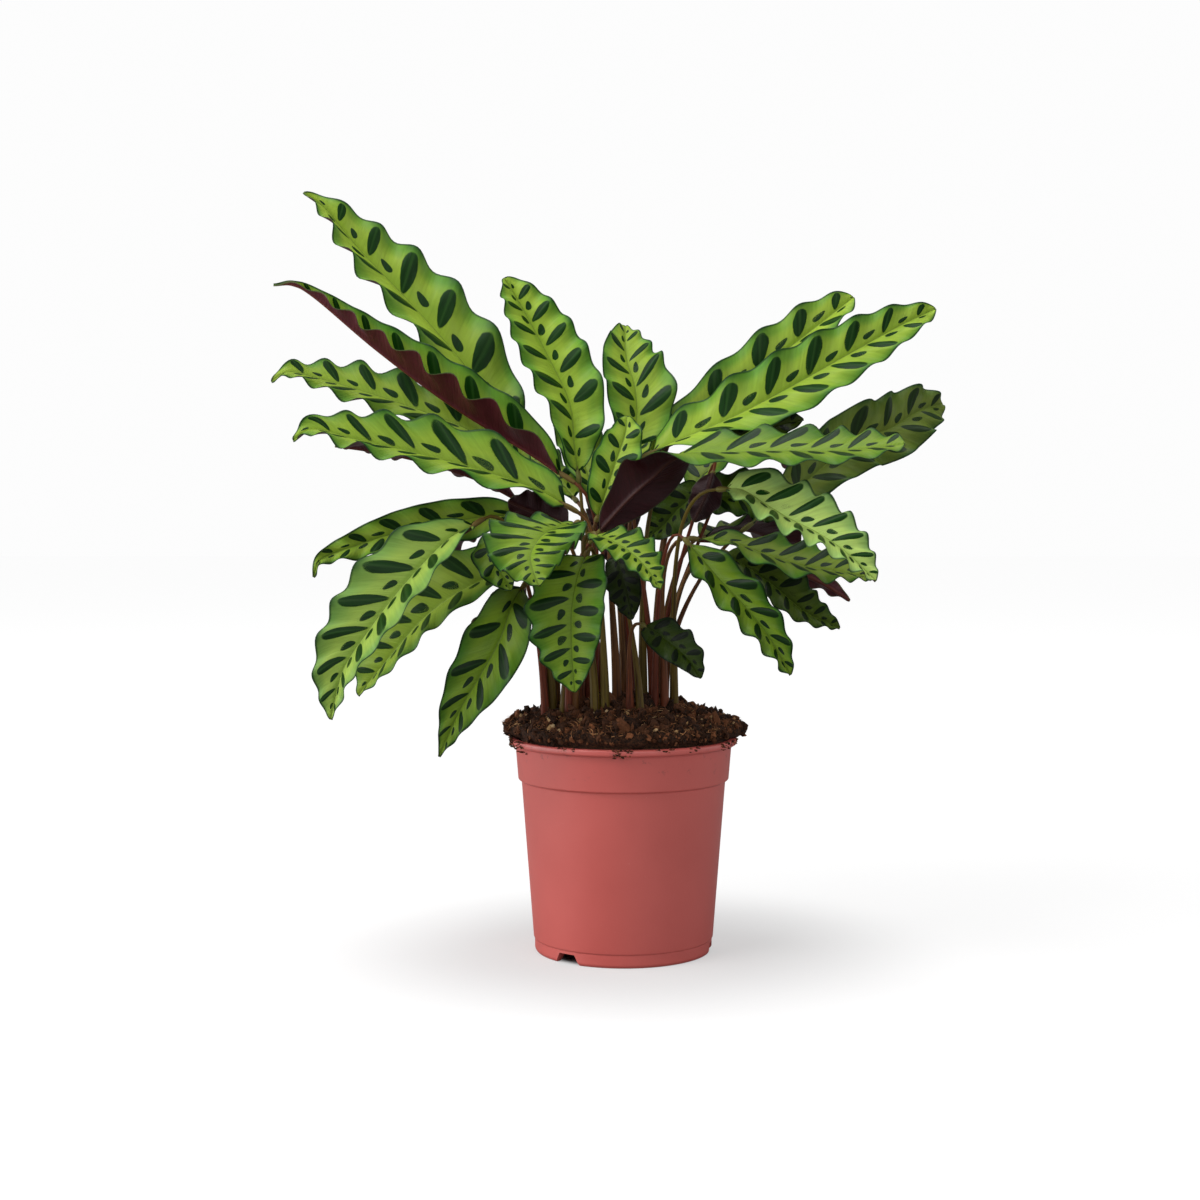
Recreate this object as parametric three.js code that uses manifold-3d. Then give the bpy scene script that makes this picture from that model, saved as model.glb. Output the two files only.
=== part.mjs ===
// A rattlesnake calathea (Calathea lancifolia) in a plastic nursery pot, filled with peat.
// Millimetres, +Z up. The origin is the middle of the pot's foot, and the front of the plant looks
// along -Y. Every blade is a thin waved solid with its pulvinus, the swollen joint at its foot. Its stalk
// ends just short of that. The stalks of a shoot are one solid, which stands in a plain hole in the peat.
import * as THREE from "three";
import { mergeVertices } from "three/addons/utils/BufferGeometryUtils.js";
import Module from "manifold-3d";

const wasm = await Module();
wasm.setup();

// ---------- driving dimensions ----------
const GAP = 0.3; // between pieces that touch

const POT = {
  height: 132,
  lipRadius: 70,
  lipHeight: 4.5,
  collarTop: 66.5, // outer radius just under the lip
  collarFoot: 64.8, // outer radius at the foot of the collar
  collarHeight: 21,
  step: 2, // how far the wall stands in under the collar
  wallFoot: 55.4, // outer radius of the wall, just above the foot band
  bandHeight: 8,
  bandStep: 0.7, // how far the foot band stands in
  footRadius: 53.6,
  wall: 1.4,
  floorHeight: 6, // the floor stands this far above what the pot rests on
  floorThickness: 1.6,
  notches: 3,
  notchAngle: -128.4, // degrees, the first drain notch, left of the front
  notchWidth: 19,
  notchTop: 11.5,
  notchHeight: 6.2,
  notchDepth: 15,
  segments: 36,
};

const SOIL = {
  overhang: 3, // past the lip, at the sides and the back
  inset: 3.5, // short of the lip's outer edge, in front
  front: [0.05, 0.35], // where the edge draws in, as the sine of the angle in front of the sides
  brim: 7, // height of the peat's edge above the lip
  mound: 22, // height of the middle above the lip
  moundRadius: 48,
  bump: 2.2,
  segments: 32,
  seed: 7,
};

const CROWN = { radius: 6.2, topRadius: 4.6, sunk: 14, rise: 7, sides: 6 };
const STALK = { footRadius: 2, topRadius: 1.4, sides: 5, steps: 5, footSpread: 3 };

const BLADE = {
  thickness: 0.8,
  pulvinusShare: 0.05, // of the blade's length
  pulvinusRadius: 1.9,
  base: 0.6, // powers of the outline towards the base and towards the tip: the lower, the blunter
  tip: 0.8,
  turn: [0.1, 0.5], // where along its length a blade turns from face to faceEnd
  tipHalfWidth: 0.5,
  veinSlant: 0.5, // the side veins lean towards the tip by this share of their reach
  crowding: 0.05, // how much closer they stand towards the tip
  waveWidth: 0.085, // the margin is broader on a crest by this share
  waveRise: 1.7, // power by which the waves rise from the midrib to the margin
};

// The eye that the midribs below are measured from: in front of the pot, at half the plant's height.
const EYE = new THREE.Vector3(0, -1183, 275);

// Shoots: where each stands in the peat.
const SHOOTS = {
  a: [-46, -14],
  b: [-45, 7],
  c: [-33, -24],
  d: [-33, 22],
  e: [-25, -3],
  f: [-17, 34],
  g: [-14, -32],
  h: [-7, -8],
  i: [2, 22],
  j: [7, -34],
  k: [15, 2],
  l: [22, -22],
  m: [28, -7],
  n: [22, 24],
};

// Leaves. midrib: points from the blade's base to its tip, [x, y, z]; y is the depth, and x and z are
// where the point shows in the plane y = 0 from EYE. face: where the upper side looks; faceEnd: the same
// at the tip of a blade that turns. fold: how far each half is raised, in degrees. waves: crests along
// each margin. wave: their height. slant: the side veins' slant, and base, tip: how blunt the ends are,
// where they aren't as BLADE says. A pair for fold or slant is the left half's and the right half's, seen
// from above with the tip away from the eye.
const LEAVES = {
  leaf_left_1: { shoot: "f", width: 58, waves: 7, wave: 5.5, fold: [28, 32], face: [0.4, -0.76, 0.52],
    slant: [1, 0.5], tip: 0.9, base: 0.8,
    midrib: [[-51, 36, 284], [-74, 44, 317], [-93, 50, 354], [-124, 53, 391], [-161, 53, 430],
      [-181, 51, 454], [-195, 50, 465]] },
  leaf_left_2: { shoot: "e", width: 49, waves: 8, wave: 3.5, fold: 68, face: [0.42, -0.62, 0.67],
    tip: 1.3, slant: [0.5, 0.9], base: 0.65,
    midrib: [[-30, -6, 288], [-58, 0, 307], [-104, 2, 335], [-150, 0, 369], [-188, -4, 401],
      [-202, -5, 409], [-214, -6, 409]] },
  leaf_left_3: { shoot: "d", width: 42, waves: 6, wave: 4, fold: 17, face: [0.15, -0.67, 0.73],
    tip: 0.9, slant: [1, 0.85],
    midrib: [[-70, 14, 306], [-98, 12, 322], [-126, 10, 333], [-159, 8, 344], [-190, 6, 353],
      [-206, 4, 356], [-216, 3, 350]] },
  leaf_left_4: { shoot: "c", width: 46, waves: 6, wave: 4.5, fold: 29, face: [0.17, -0.71, 0.68],
    slant: [1, 1.3],
    midrib: [[-28, -26, 270], [-53, -32, 284], [-91, -38, 297], [-134, -42, 308], [-165, -44, 315],
      [-190, -44, 321], [-203, -42, 314]] },
  leaf_left_5: { shoot: "b", width: 30, waves: 6, wave: 3, fold: 15, face: [0, 0.3, 1],
    midrib: [[-60, 4, 276], [-90, 2, 291], [-125, 0, 302], [-155, -2, 308], [-177, -4, 311]] },
  leaf_left_6: { shoot: "b", width: 28, waves: 6, wave: 5, fold: [20, 25], face: [-0.25, -0.95, 0.1],
    slant: [0.8, 0.8], tip: 0.95,
    midrib: [[-52, -6, 267], [-80, -8, 268], [-112, -10, 263], [-141, -12, 257], [-169, -15, 248],
      [-186, -17, 241], [-191, -17, 230]] },
  leaf_left_7: { shoot: "a", width: 53, waves: 7, wave: 2.2, fold: [25, 43],
    face: [-0.52, -0.79, 0.31], slant: [0.5, 0.95], base: 0.76, tip: 0.83,
    midrib: [[-86, -44, 266], [-99, -54, 258], [-110, -64, 252], [-135, -78, 226], [-156, -88, 199],
      [-173, -94, 173], [-181, -97, 142]] },
  leaf_left_8: { shoot: "b", width: 62, waves: 6, wave: 2.1, fold: [21, 31],
    face: [-0.57, -0.63, 0.53], base: 0.52, tip: 0.78,
    midrib: [[-63, -22, 240], [-84, -28, 230], [-105, -34, 219], [-124, -38, 204], [-141, -42, 185],
      [-164, -44, 157]] },
  leaf_left_9: { shoot: "a", width: 39, waves: 5, wave: 3, fold: [20, 25], face: [-0.18, -0.98, 0.06],
    slant: 1.2, base: 0.69, tip: 1.08,
    midrib: [[-59, -50, 228], [-68, -60, 215], [-76, -70, 192], [-88, -77, 170], [-101, -82, 148],
      [-114, -86, 119]] },
  leaf_left_10: { shoot: "a", width: 24, waves: 4, wave: 2, fold: 12, face: [-0.2, -1, 0.4],
    midrib: [[-76, -52, 256], [-80, -62, 249], [-78, -70, 238], [-69, -76, 222]] },
  leaf_left_11: { shoot: "c", width: 30, waves: 4, wave: 2, fold: 10, face: [0, 1, 0.3],
    midrib: [[-32, -20, 261], [-44, -20, 266], [-57, -21, 271], [-71, -23, 277]] },

  leaf_front_1: { shoot: "c", width: 56, waves: 8, wave: 4, fold: 12, face: [-0.1, -0.6, 1], base: 1.1,
    midrib: [[-27, -38, 264], [-40, -58, 261], [-50, -78, 256], [-57, -96, 245], [-56, -106, 235],
      [-52, -112, 225]] },
  leaf_front_2: { shoot: "g", width: 50, waves: 6, wave: 1.5, fold: 20, face: [-0.37, -0.9, 0.25],
    slant: [0.1, 0.35],
    midrib: [[-22, -58, 246], [-28, -74, 232], [-32, -84, 210], [-32, -88, 185], [-30, -90, 159]] },
  leaf_front_3: { shoot: "g", width: 30, waves: 6, wave: 2.5, fold: 13, face: [0.37, -0.79, 0.49],
    midrib: [[-19, -50, 257], [-8, -66, 253], [4, -78, 246], [14, -86, 236], [23, -90, 223]] },
  leaf_front_4: { shoot: "j", width: 22, waves: 4, wave: 1.5, fold: 12, face: [-0.3, -1, 0],
    midrib: [[-5, -34, 246], [-2, -42, 234], [2, -46, 220], [5, -48, 204]] },
  leaf_front_5: { shoot: "j", width: 24, waves: 4, wave: 1.5, fold: 12, face: [0.2, -1, 0.5],
    midrib: [[11, -60, 201], [21, -68, 196], [30, -75, 189], [40, -79, 180], [48, -81, 168]] },

  leaf_centre_1: { shoot: "e", width: 48, waves: 7, wave: 3.5, fold: [31, 35],
    face: [0.39, -0.92, -0.02], tip: 0.66, slant: [0.6, 0.25], base: 0.64,
    midrib: [[-27, -4, 288], [-30, -2, 310], [-33, 3, 337], [-46, 9, 365], [-62, 14, 395],
      [-73, 16, 413]] },
  leaf_centre_2: { shoot: "k", width: 48, waves: 5, wave: 2.8, fold: 25, face: [0.31, -0.94, 0.11],
    tip: 0.74, slant: [0.4, 0.8], base: 0.48,
    midrib: [[5, 10, 306], [8, 14, 326], [7, 19, 346], [2, 26, 363], [1, 34, 376], [1, 42, 384]] },
  leaf_centre_3: { shoot: "e", width: 28, waves: 4, wave: 2.5, fold: 14, face: [0.1, -1, 0.3], tip: 0.6,
    midrib: [[-17, -14, 264], [-11, -14, 282], [-5, -12, 300], [1, -8, 318], [2, -4, 329]] },

  leaf_right_1: { shoot: "h", width: 44, waves: 7, wave: 4, fold: [16, 32], face: [-0.32, -0.74, 0.59],
    faceEnd: [-0.03, -0.98, 0.18], tip: 0.57, slant: [0.8, 1], base: 0.45,
    midrib: [[9, -4, 302], [28, -2, 312], [66, 0, 328], [99, 2, 345], [140, 4, 368], [167, 6, 383],
      [190, 8, 394]] },
  leaf_right_2: { shoot: "c", width: 54, waves: 8, wave: 2.6, fold: [-1, 13],
    face: [-0.21, 0.95, 0.25], faceEnd: [0.03, -0.52, 0.85], base: 0.67, slant: 0.8, tip: 0.45,
    midrib: [[-21, -29, 251], [1, -37, 276], [17, -42, 291], [34, -54, 305], [64, -66, 307],
      [101, -76, 308], [132, -84, 308], [172, -90, 312]] },
  leaf_right_3: { shoot: "n", width: 44, waves: 7, wave: 5, fold: [14, 21], face: [-0.2, -0.76, 0.61],
    faceEnd: [-0.02, -1, 0.05], tip: 0.54, slant: [0.75, 0.85], base: 0.94,
    midrib: [[72, 30, 258], [92, 38, 274], [113, 48, 290], [140, 62, 312], [163, 70, 321],
      [181, 80, 332], [195, 90, 336]] },
  leaf_right_4: { shoot: "i", width: 37, waves: 5, wave: 3.3, fold: [21, 34],
    face: [-0.17, -0.92, 0.34], tip: 0.5, slant: [0.8, 1], base: 0.81,
    midrib: [[10, 30, 297], [28, 33, 320], [53, 36, 337], [79, 40, 355], [103, 43, 372], [140, 46, 401]] },
  leaf_right_5: { shoot: "m", width: 43, waves: 7, wave: 3.8, fold: [22, 35],
    face: [0.24, -0.86, 0.44], base: 0.5, tip: 0.7, slant: [0.85, 0.6],
    midrib: [[57, -60, 284], [72, -66, 284], [87, -75, 275], [102, -84, 266], [118, -93, 258],
      [136, -102, 246], [155, -107, 228]] },
  leaf_right_6: { shoot: "l", width: 48, waves: 6, wave: 3.1, fold: [6, 15], face: [0.26, -0.47, 0.85],
    faceEnd: [0.29, -0.52, 0.8], slant: 0.8, base: 1.1, tip: 0.79,
    midrib: [[40, -30, 254], [66, -38, 252], [88, -46, 244], [112, -52, 237], [138, -56, 233],
      [152, -58, 229]] },
  leaf_right_7: { shoot: "l", width: 28, waves: 5, wave: 4.4, fold: 20, face: [0.22, -0.89, 0.4],
    slant: [1.2, 0.8], base: 0.55, tip: 0.7,
    midrib: [[37, -50, 254], [48, -58, 242], [59, -66, 229], [75, -74, 212], [90, -80, 193],
      [103, -84, 170]] },
  leaf_right_8: { shoot: "m", width: 32, waves: 6, wave: 2.5, fold: 25, face: [0.2, -1, 0.6],
    midrib: [[58, -10, 246], [74, -14, 238], [94, -18, 224], [112, -22, 209], [133, -26, 199]] },
  leaf_right_9: { shoot: "n", width: 18, waves: 5, wave: 2.5, fold: 25, face: [0.3, 0.9, 0.3],
    midrib: [[60, 10, 246], [90, 12, 238], [117, 14, 229], [139, 14, 216]] },
  leaf_right_10: { shoot: "n", width: 19, waves: 3, wave: 1.5, fold: 12, face: [0.1, 0.9, 0.1],
    midrib: [[55, -18, 295], [52, -22, 284], [48, -27, 274], [43, -30, 264]] },
  leaf_right_11: { shoot: "n", width: 30, waves: 4, wave: 2, fold: 12, face: [-0.2, -1, 0.5],
    midrib: [[52, 28, 286], [43, 24, 280], [33, 21, 272], [24, 19, 262], [14, 18, 254]] },
  leaf_right_12: { shoot: "k", width: 30, waves: 4, wave: 2, fold: 14, face: [0, -0.9, 0.5],
    midrib: [[41, 6, 308], [65, 4, 315], [89, 2, 322], [110, 0, 327]] },

  leaf_back_1: { shoot: "i", width: 42, waves: 6, wave: 3.5, fold: 14, face: [0, 0, 1],
    midrib: [[6, 42, 285], [9, 62, 308], [12, 84, 316], [14, 104, 308], [15, 115, 288]] },
  leaf_back_2: { shoot: "f", width: 36, waves: 6, wave: 3.5, fold: 16, face: [0, 0, 1],
    midrib: [[-28, 42, 276], [-44, 62, 294], [-60, 82, 303], [-74, 100, 300], [-86, 112, 290]] },
  leaf_back_3: { shoot: "n", width: 44, waves: 6, wave: 3.5, fold: 16, face: [0, 0, 1],
    midrib: [[38, 34, 282], [56, 54, 300], [76, 76, 310], [94, 94, 306], [108, 106, 290]] },
  leaf_back_4: { shoot: "d", width: 42, waves: 6, wave: 3.5, fold: 14, face: [0, 0.2, 1],
    midrib: [[-52, 36, 252], [-70, 56, 261], [-88, 76, 262], [-104, 92, 252], [-116, 103, 232]] },
  leaf_back_5: { shoot: "n", width: 42, waves: 6, wave: 3.5, fold: 14, face: [0, 0.2, 1],
    midrib: [[46, 38, 254], [62, 58, 260], [82, 78, 258], [100, 94, 246], [114, 104, 226]] },
  leaf_back_6: { shoot: "f", width: 30, waves: 6, wave: 3, fold: 14, face: [0, -0.4, 1],
    midrib: [[-16, 46, 276], [-24, 58, 300], [-30, 72, 320], [-34, 88, 334], [-37, 104, 338]] },
  leaf_back_7: { shoot: "i", width: 38, waves: 6, wave: 3, fold: 12, face: [0, 0.3, 1],
    midrib: [[-6, 46, 262], [-5, 66, 272], [-5, 86, 272], [-6, 102, 258], [-6, 111, 236]] },
  leaf_back_8: { shoot: "d", width: 30, waves: 5, wave: 3, fold: 16, face: [-0.4, 0.8, 0.5],
    midrib: [[-60, 50, 226], [-69, 64, 216], [-79, 78, 197], [-88, 88, 172], [-94, 94, 146]] },
  leaf_back_9: { shoot: "n", width: 36, waves: 5, wave: 3, fold: 16, face: [0.1, -0.8, 0.6],
    midrib: [[41, 49, 276], [54, 49, 279], [70, 49, 279], [85, 49, 274], [99, 50, 264]] },
};

// ---------- materials ----------
const matte = (color, roughness) => new THREE.MeshStandardMaterial({ color, roughness, metalness: 0 });
const MATERIALS = {
  pot: matte(0xb0544c, 0.5),
  soil: matte(0x33201a, 1),
  stalk: matte(0x7a4028, 0.6),
  blade: matte(0x6fa336, 0.45),
};

// ---------- helpers ----------
const degrees = (angle) => (angle * Math.PI) / 180;
const lerp = THREE.MathUtils.lerp;

function random(seed) {
  let state = seed;
  return () => {
    state = (state + 0x6d2b79f5) | 0;
    let t = Math.imul(state ^ (state >>> 15), 1 | state);
    t = (t + Math.imul(t ^ (t >>> 7), 61 | t)) ^ t;
    return ((t ^ (t >>> 14)) >>> 0) / 4294967296;
  };
}

function solid(geometry) {
  const bare = geometry.clone();
  bare.deleteAttribute("normal");
  bare.deleteAttribute("uv");
  const merged = mergeVertices(bare, 1e-4);
  return new wasm.Manifold(
    new wasm.Mesh({
      numProp: 3,
      vertProperties: merged.attributes.position.array,
      triVerts: new Uint32Array(merged.index.array),
    }),
  );
}

function geometryOf(made) {
  const mesh = made.getMesh();
  const geometry = new THREE.BufferGeometry();
  geometry.setAttribute("position", new THREE.BufferAttribute(mesh.vertProperties, 3));
  geometry.setIndex(new THREE.BufferAttribute(mesh.triVerts, 1));
  geometry.computeVertexNormals();
  return geometry;
}

// A closed solid through rings of points, each with as many, and a flat cap on either end. turned tells
// for each strip along the solid which way its quads are cut in two. apex is the point of the last ring
// that its cap is fanned out from.
function loft(rings, turned = [], apex = 0) {
  const count = rings[0].length;
  const index = [];
  for (let i = 0; i + 1 < rings.length; i++)
    for (let a = 0; a < count; a++) {
      const b = (a + 1) % count;
      const [p, q] = [i * count + a, i * count + b];
      const [s, r] = [p + count, q + count];
      if (turned[a]) index.push(p, q, s, q, r, s);
      else index.push(p, q, r, p, r, s);
    }
  const last = (rings.length - 1) * count;
  for (let a = 1; a + 1 < count; a++) {
    index.push(0, a + 1, a);
    index.push(last + apex, last + ((apex + a) % count), last + ((apex + a + 1) % count));
  }
  const geometry = new THREE.BufferGeometry().setFromPoints(rings.flat());
  geometry.setIndex(index);
  geometry.computeVertexNormals();
  return geometry;
}

function ring(centre, side, up, radius, sides, turn = 0) {
  return Array.from({ length: sides }, (_, k) => {
    const angle = turn + (2 * Math.PI * k) / sides;
    return centre
      .clone()
      .addScaledVector(side, radius * Math.cos(angle))
      .addScaledVector(up, radius * Math.sin(angle));
  });
}

function mesh(name, geometry, material) {
  const made = new THREE.Mesh(geometry, material);
  made.name = name;
  return made;
}

// ---------- pot ----------
function pot() {
  const { height, wall, floorHeight } = POT;
  const collarFootZ = height - POT.lipHeight - POT.collarHeight;
  const points = [
    [0, floorHeight],
    [POT.footRadius - wall - 4, floorHeight],
    [POT.footRadius - wall - 2, 0],
    [POT.footRadius, 0],
    [POT.footRadius + 1.1, 1.6],
    [POT.wallFoot - POT.bandStep, POT.bandHeight],
    [POT.wallFoot, POT.bandHeight + POT.bandStep],
    [POT.collarFoot - POT.step, collarFootZ - 1],
    [POT.collarFoot, collarFootZ],
    [POT.collarTop, height - POT.lipHeight],
    [POT.lipRadius, height - POT.lipHeight + 0.8],
    [POT.lipRadius, height - 0.8],
    [POT.lipRadius - 0.8, height],
    [POT.collarTop - wall + 0.6, height],
    [POT.collarTop - wall, height - POT.lipHeight],
    [POT.collarFoot - wall, collarFootZ],
    [POT.collarFoot - POT.step - wall, collarFootZ - 2],
    [POT.footRadius - wall + 0.6, floorHeight + POT.floorThickness],
    [0, floorHeight + POT.floorThickness],
  ].map(([r, z]) => new THREE.Vector2(r, z));
  const turned = new THREE.LatheGeometry(points, POT.segments).rotateX(Math.PI / 2);
  let made = solid(turned);
  for (let k = 0; k < POT.notches; k++) {
    made = made.subtract(notch(POT.notchAngle + (360 * k) / POT.notches));
  }
  return geometryOf(made);
}

// A drain notch: narrower at its top, cut through the foot and up through the edge of the floor.
function notch(angle) {
  const shape = new THREE.Shape([
    new THREE.Vector2(-POT.notchWidth / 2, -1),
    new THREE.Vector2(POT.notchWidth / 2, -1),
    new THREE.Vector2(POT.notchTop / 2, POT.notchHeight),
    new THREE.Vector2(POT.notchTop / 2, floorTop() + 1),
    new THREE.Vector2(-POT.notchTop / 2, floorTop() + 1),
    new THREE.Vector2(-POT.notchTop / 2, POT.notchHeight),
  ]);
  const low = new THREE.ExtrudeGeometry(
    new THREE.Shape(shape.getPoints().filter((p) => p.y <= POT.notchHeight)),
    { depth: POT.notchDepth, bevelEnabled: false },
  );
  const hole = new THREE.ExtrudeGeometry(shape, { depth: POT.notchDepth - 5, bevelEnabled: false });
  const start = POT.footRadius + 3 - POT.notchDepth;
  const outwards = (geometry) => {
    const upright = geometry.rotateX(Math.PI / 2).rotateZ(Math.PI / 2);
    return solid(upright.translate(start, 0, 0).rotateZ(degrees(angle)));
  };
  return outwards(low).add(outwards(hole));
}

const floorTop = () => POT.floorHeight + POT.floorThickness;

// ---------- peat ----------
// Height of the peat at a place, without its bumps.
function peatHeight(x, y) {
  const r = Math.hypot(x, y);
  const rise = 1 / (1 + Math.pow(r / SOIL.moundRadius, 4));
  return POT.height + lerp(SOIL.brim, SOIL.mound, rise) * (r < POT.lipRadius ? 1 : 0.9);
}

// How far the peat reaches from the pot's axis at an angle.
function peatEdge(angle) {
  const front = THREE.MathUtils.smoothstep(-Math.sin(angle), ...SOIL.front);
  return POT.lipRadius + lerp(SOIL.overhang, -SOIL.inset, front);
}

function peat() {
  const next = random(SOIL.seed);
  const bump = () => (next() - 0.5) * 2 * SOIL.bump;
  const circle = (radius, height, rough) =>
    Array.from({ length: SOIL.segments }, (_, k) => {
      const angle = (2 * Math.PI * k) / SOIL.segments;
      const r = (typeof radius === "function" ? radius(angle) : radius) + rough * bump() * 0.6;
      const [x, y] = [r * Math.cos(angle), r * Math.sin(angle)];
      return new THREE.Vector3(x, y, height === null ? peatHeight(x, y) + rough * bump() : height);
    });
  const inner = POT.footRadius - POT.wall + 0.6 - GAP;
  const collarFootZ = POT.height - POT.lipHeight - POT.collarHeight;
  const rings = [
    circle(inner - 0.3, floorTop() + GAP, 0),
    circle(POT.collarFoot - POT.step - POT.wall - 2 * GAP, collarFootZ - 2, 0),
    circle(POT.collarTop - POT.wall - 2 * GAP - 0.4, POT.height - POT.lipHeight, 0),
    circle(POT.collarTop - POT.wall - GAP - 0.2, POT.height + 0.6, 0),
    circle((angle) => peatEdge(angle) - 0.8, POT.height + 1.2, 0.5),
    circle(peatEdge, POT.height + SOIL.brim * 0.6, 0.8),
    circle((angle) => peatEdge(angle) - 5, null, 0.8),
    circle(54, null, 1),
    circle(38, null, 1),
    circle(18, null, 0.8),
  ];
  let made = solid(loft(rings));
  for (const at of Object.values(SHOOTS)) made = made.subtract(solid(crown(at, GAP + 0.05)));
  return geometryOf(made);
}

// ---------- shoots ----------
// The foot of a shoot, where its stalks meet; grown by some clearance it is the hole that it stands in.
function crown([x, y], clearance = 0) {
  const surface = peatHeight(x, y);
  const [side, up] = [new THREE.Vector3(1, 0, 0), new THREE.Vector3(0, 1, 0)];
  const level = (z, radius) => ring(new THREE.Vector3(x, y, z), side, up, radius + clearance, CROWN.sides);
  const bottom = surface - CROWN.sunk - clearance;
  if (clearance) return loft([level(bottom, CROWN.radius), level(surface + 12, CROWN.radius)]);
  return loft([
    level(bottom, CROWN.radius),
    level(surface + 1, CROWN.radius),
    level(surface + CROWN.rise, CROWN.topRadius),
  ]);
}

function stalk(leafName, order, among) {
  const leaf = LEAVES[leafName];
  const [x, y] = SHOOTS[leaf.shoot];
  const spread = (2 * Math.PI * order) / among;
  const foot = new THREE.Vector3(
    x + STALK.footSpread * Math.cos(spread),
    y + STALK.footSpread * Math.sin(spread),
    peatHeight(x, y) - 4,
  );
  const run = midrib(leaf);
  const direction = run.getTangentAt(0);
  const end = run.getPointAt(0).addScaledVector(direction, -GAP);
  const reach = end.distanceTo(foot);
  const curve = new THREE.CubicBezierCurve3(
    foot,
    foot.clone().add(new THREE.Vector3(0, 0, reach * 0.45)),
    end.clone().addScaledVector(direction, -reach * 0.22),
    end,
  );
  const rings = [];
  const side = new THREE.Vector3(1, 0, 0); // carried along the stalk without a twist
  for (let i = 0; i <= STALK.steps; i++) {
    const u = Math.sin((Math.PI / 2) * (i / STALK.steps)); // closer where a stalk bends over, at its end
    const along = i === STALK.steps ? direction : curve.getTangentAt(u);
    side.addScaledVector(along, -side.dot(along)).normalize();
    const up = along.clone().cross(side);
    const radius = lerp(STALK.footRadius, STALK.topRadius, u);
    rings.push(ring(curve.getPointAt(u), side, up, radius, STALK.sides));
  }
  return loft(rings);
}

function shoot(id) {
  const own = Object.keys(LEAVES).filter((name) => LEAVES[name].shoot === id);
  let made = solid(crown(SHOOTS[id]));
  own.forEach((name, order) => (made = made.add(solid(stalk(name, order, own.length)))));
  // The greatest body alone: pockets shut in between stalks are left out.
  const [whole] = made.decompose().sort((a, b) => b.volume() - a.volume());
  return geometryOf(whole);
}

// ---------- blades ----------
function midrib(leaf) {
  const points = leaf.midrib.map(([x, y, z]) => {
    const shown = new THREE.Vector3(x, 0, z);
    return shown.sub(EYE).multiplyScalar((y - EYE.y) / -EYE.y).add(EYE);
  });
  return new THREE.CatmullRomCurve3(points, false, "catmullrom", 0.5);
}

// The share of its greatest width that a blade has at a share of its length.
function outline(leaf, u) {
  const a = leaf.base ?? BLADE.base;
  const b = leaf.tip ?? BLADE.tip;
  const shape = (t) => Math.pow(t, a) * Math.pow(1 - t, b);
  return shape(Math.min(Math.max(u, 0), 1)) / shape(a / (a + b));
}

// What a half of the blade has of a value that may differ from half to half.
const half = (value, v) => (Array.isArray(value) ? value[v < 0 ? 1 : 0] : value);

// The blade's frame at a share of its length: a point of the midrib, and the ways out to its left and up
// from its upper side.
function frameAt(run, leaf, u) {
  const along = run.getTangentAt(u);
  const turned = THREE.MathUtils.smoothstep(u, ...BLADE.turn);
  const faceEnd = new THREE.Vector3(...(leaf.faceEnd ?? leaf.face));
  const up = new THREE.Vector3(...leaf.face).lerp(faceEnd, turned);
  up.addScaledVector(along, -up.dot(along)).normalize();
  return { centre: run.getPointAt(u), up, side: up.clone().cross(along) };
}

function blade(leaf) {
  const run = midrib(leaf);
  const length = run.getLength();
  const start = BLADE.pulvinusShare;
  const rows = 2 * leaf.waves;
  const rings = [0, start].map((u) => {
    const { centre, side, up } = frameAt(run, leaf, u);
    return ring(centre, side, up, BLADE.pulvinusRadius, 10, degrees(18));
  });
  for (let row = 1; row <= rows; row++) rings.push(bladeRing(run, leaf, length, start, row, rows));
  return loft(rings, [0, 0, 1, 1, 0, 0, 0, 1, 1, 0], 7); // 7: the midrib, on the underside
}

// One section of a blade, along a pair of side veins: five points on the upper side, from the left margin
// to the right, and the same five back on the underside. Odd rows lie on crests of the left margin and in
// troughs of the right one, and even rows the other way round.
function bladeRing(run, leaf, length, start, row, rows) {
  const step = row / rows;
  const foot = lerp(start, 1, step + BLADE.crowding * Math.sin(Math.PI * step));
  const over = [];
  const under = [];
  for (const v of [1, 0.5, 0, -0.5, -1]) {
    const sense = (row % 2 ? 1 : -1) * (Math.sign(v) || 1);
    const reach = (outline(leaf, (foot - start) / (1 - start)) * leaf.width) / 2;
    const lean = (half(leaf.slant ?? BLADE.veinSlant, v) * Math.abs(v) * reach) / length;
    const u = foot < 1 ? 1 - (1 - foot) * Math.exp(-lean / (1 - foot)) : 1;
    const { centre, side, up } = frameAt(run, leaf, u);
    const share = outline(leaf, (u - start) / (1 - start));
    const width = BLADE.tipHalfWidth + (share * leaf.width * (1 + BLADE.waveWidth * sense)) / 2;
    const fold = degrees(half(leaf.fold, v)) * Math.sign(v);
    const out = side.clone().multiplyScalar(Math.cos(fold)).addScaledVector(up, Math.sin(fold));
    const normal = up.clone().multiplyScalar(Math.cos(fold)).addScaledVector(side, -Math.sin(fold));
    const ripple = sense * leaf.wave * Math.pow(Math.abs(v), BLADE.waveRise) * Math.sqrt(share);
    const point = centre.addScaledVector(out, v * width).addScaledVector(normal, ripple);
    over.push(point);
    under.unshift(point.clone().addScaledVector(normal, -BLADE.thickness));
  }
  return [...over, ...under];
}

// ---------- the plant ----------
const plant = new THREE.Group();
plant.add(mesh("pot", pot(), MATERIALS.pot));
plant.add(mesh("peat", peat(), MATERIALS.soil));
for (const id of Object.keys(SHOOTS)) plant.add(mesh(`shoot_${id}`, shoot(id), MATERIALS.stalk));
for (const [name, leaf] of Object.entries(LEAVES)) plant.add(mesh(name, blade(leaf), MATERIALS.blade));

export default plant;
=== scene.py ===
import math
import random
from types import SimpleNamespace

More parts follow.
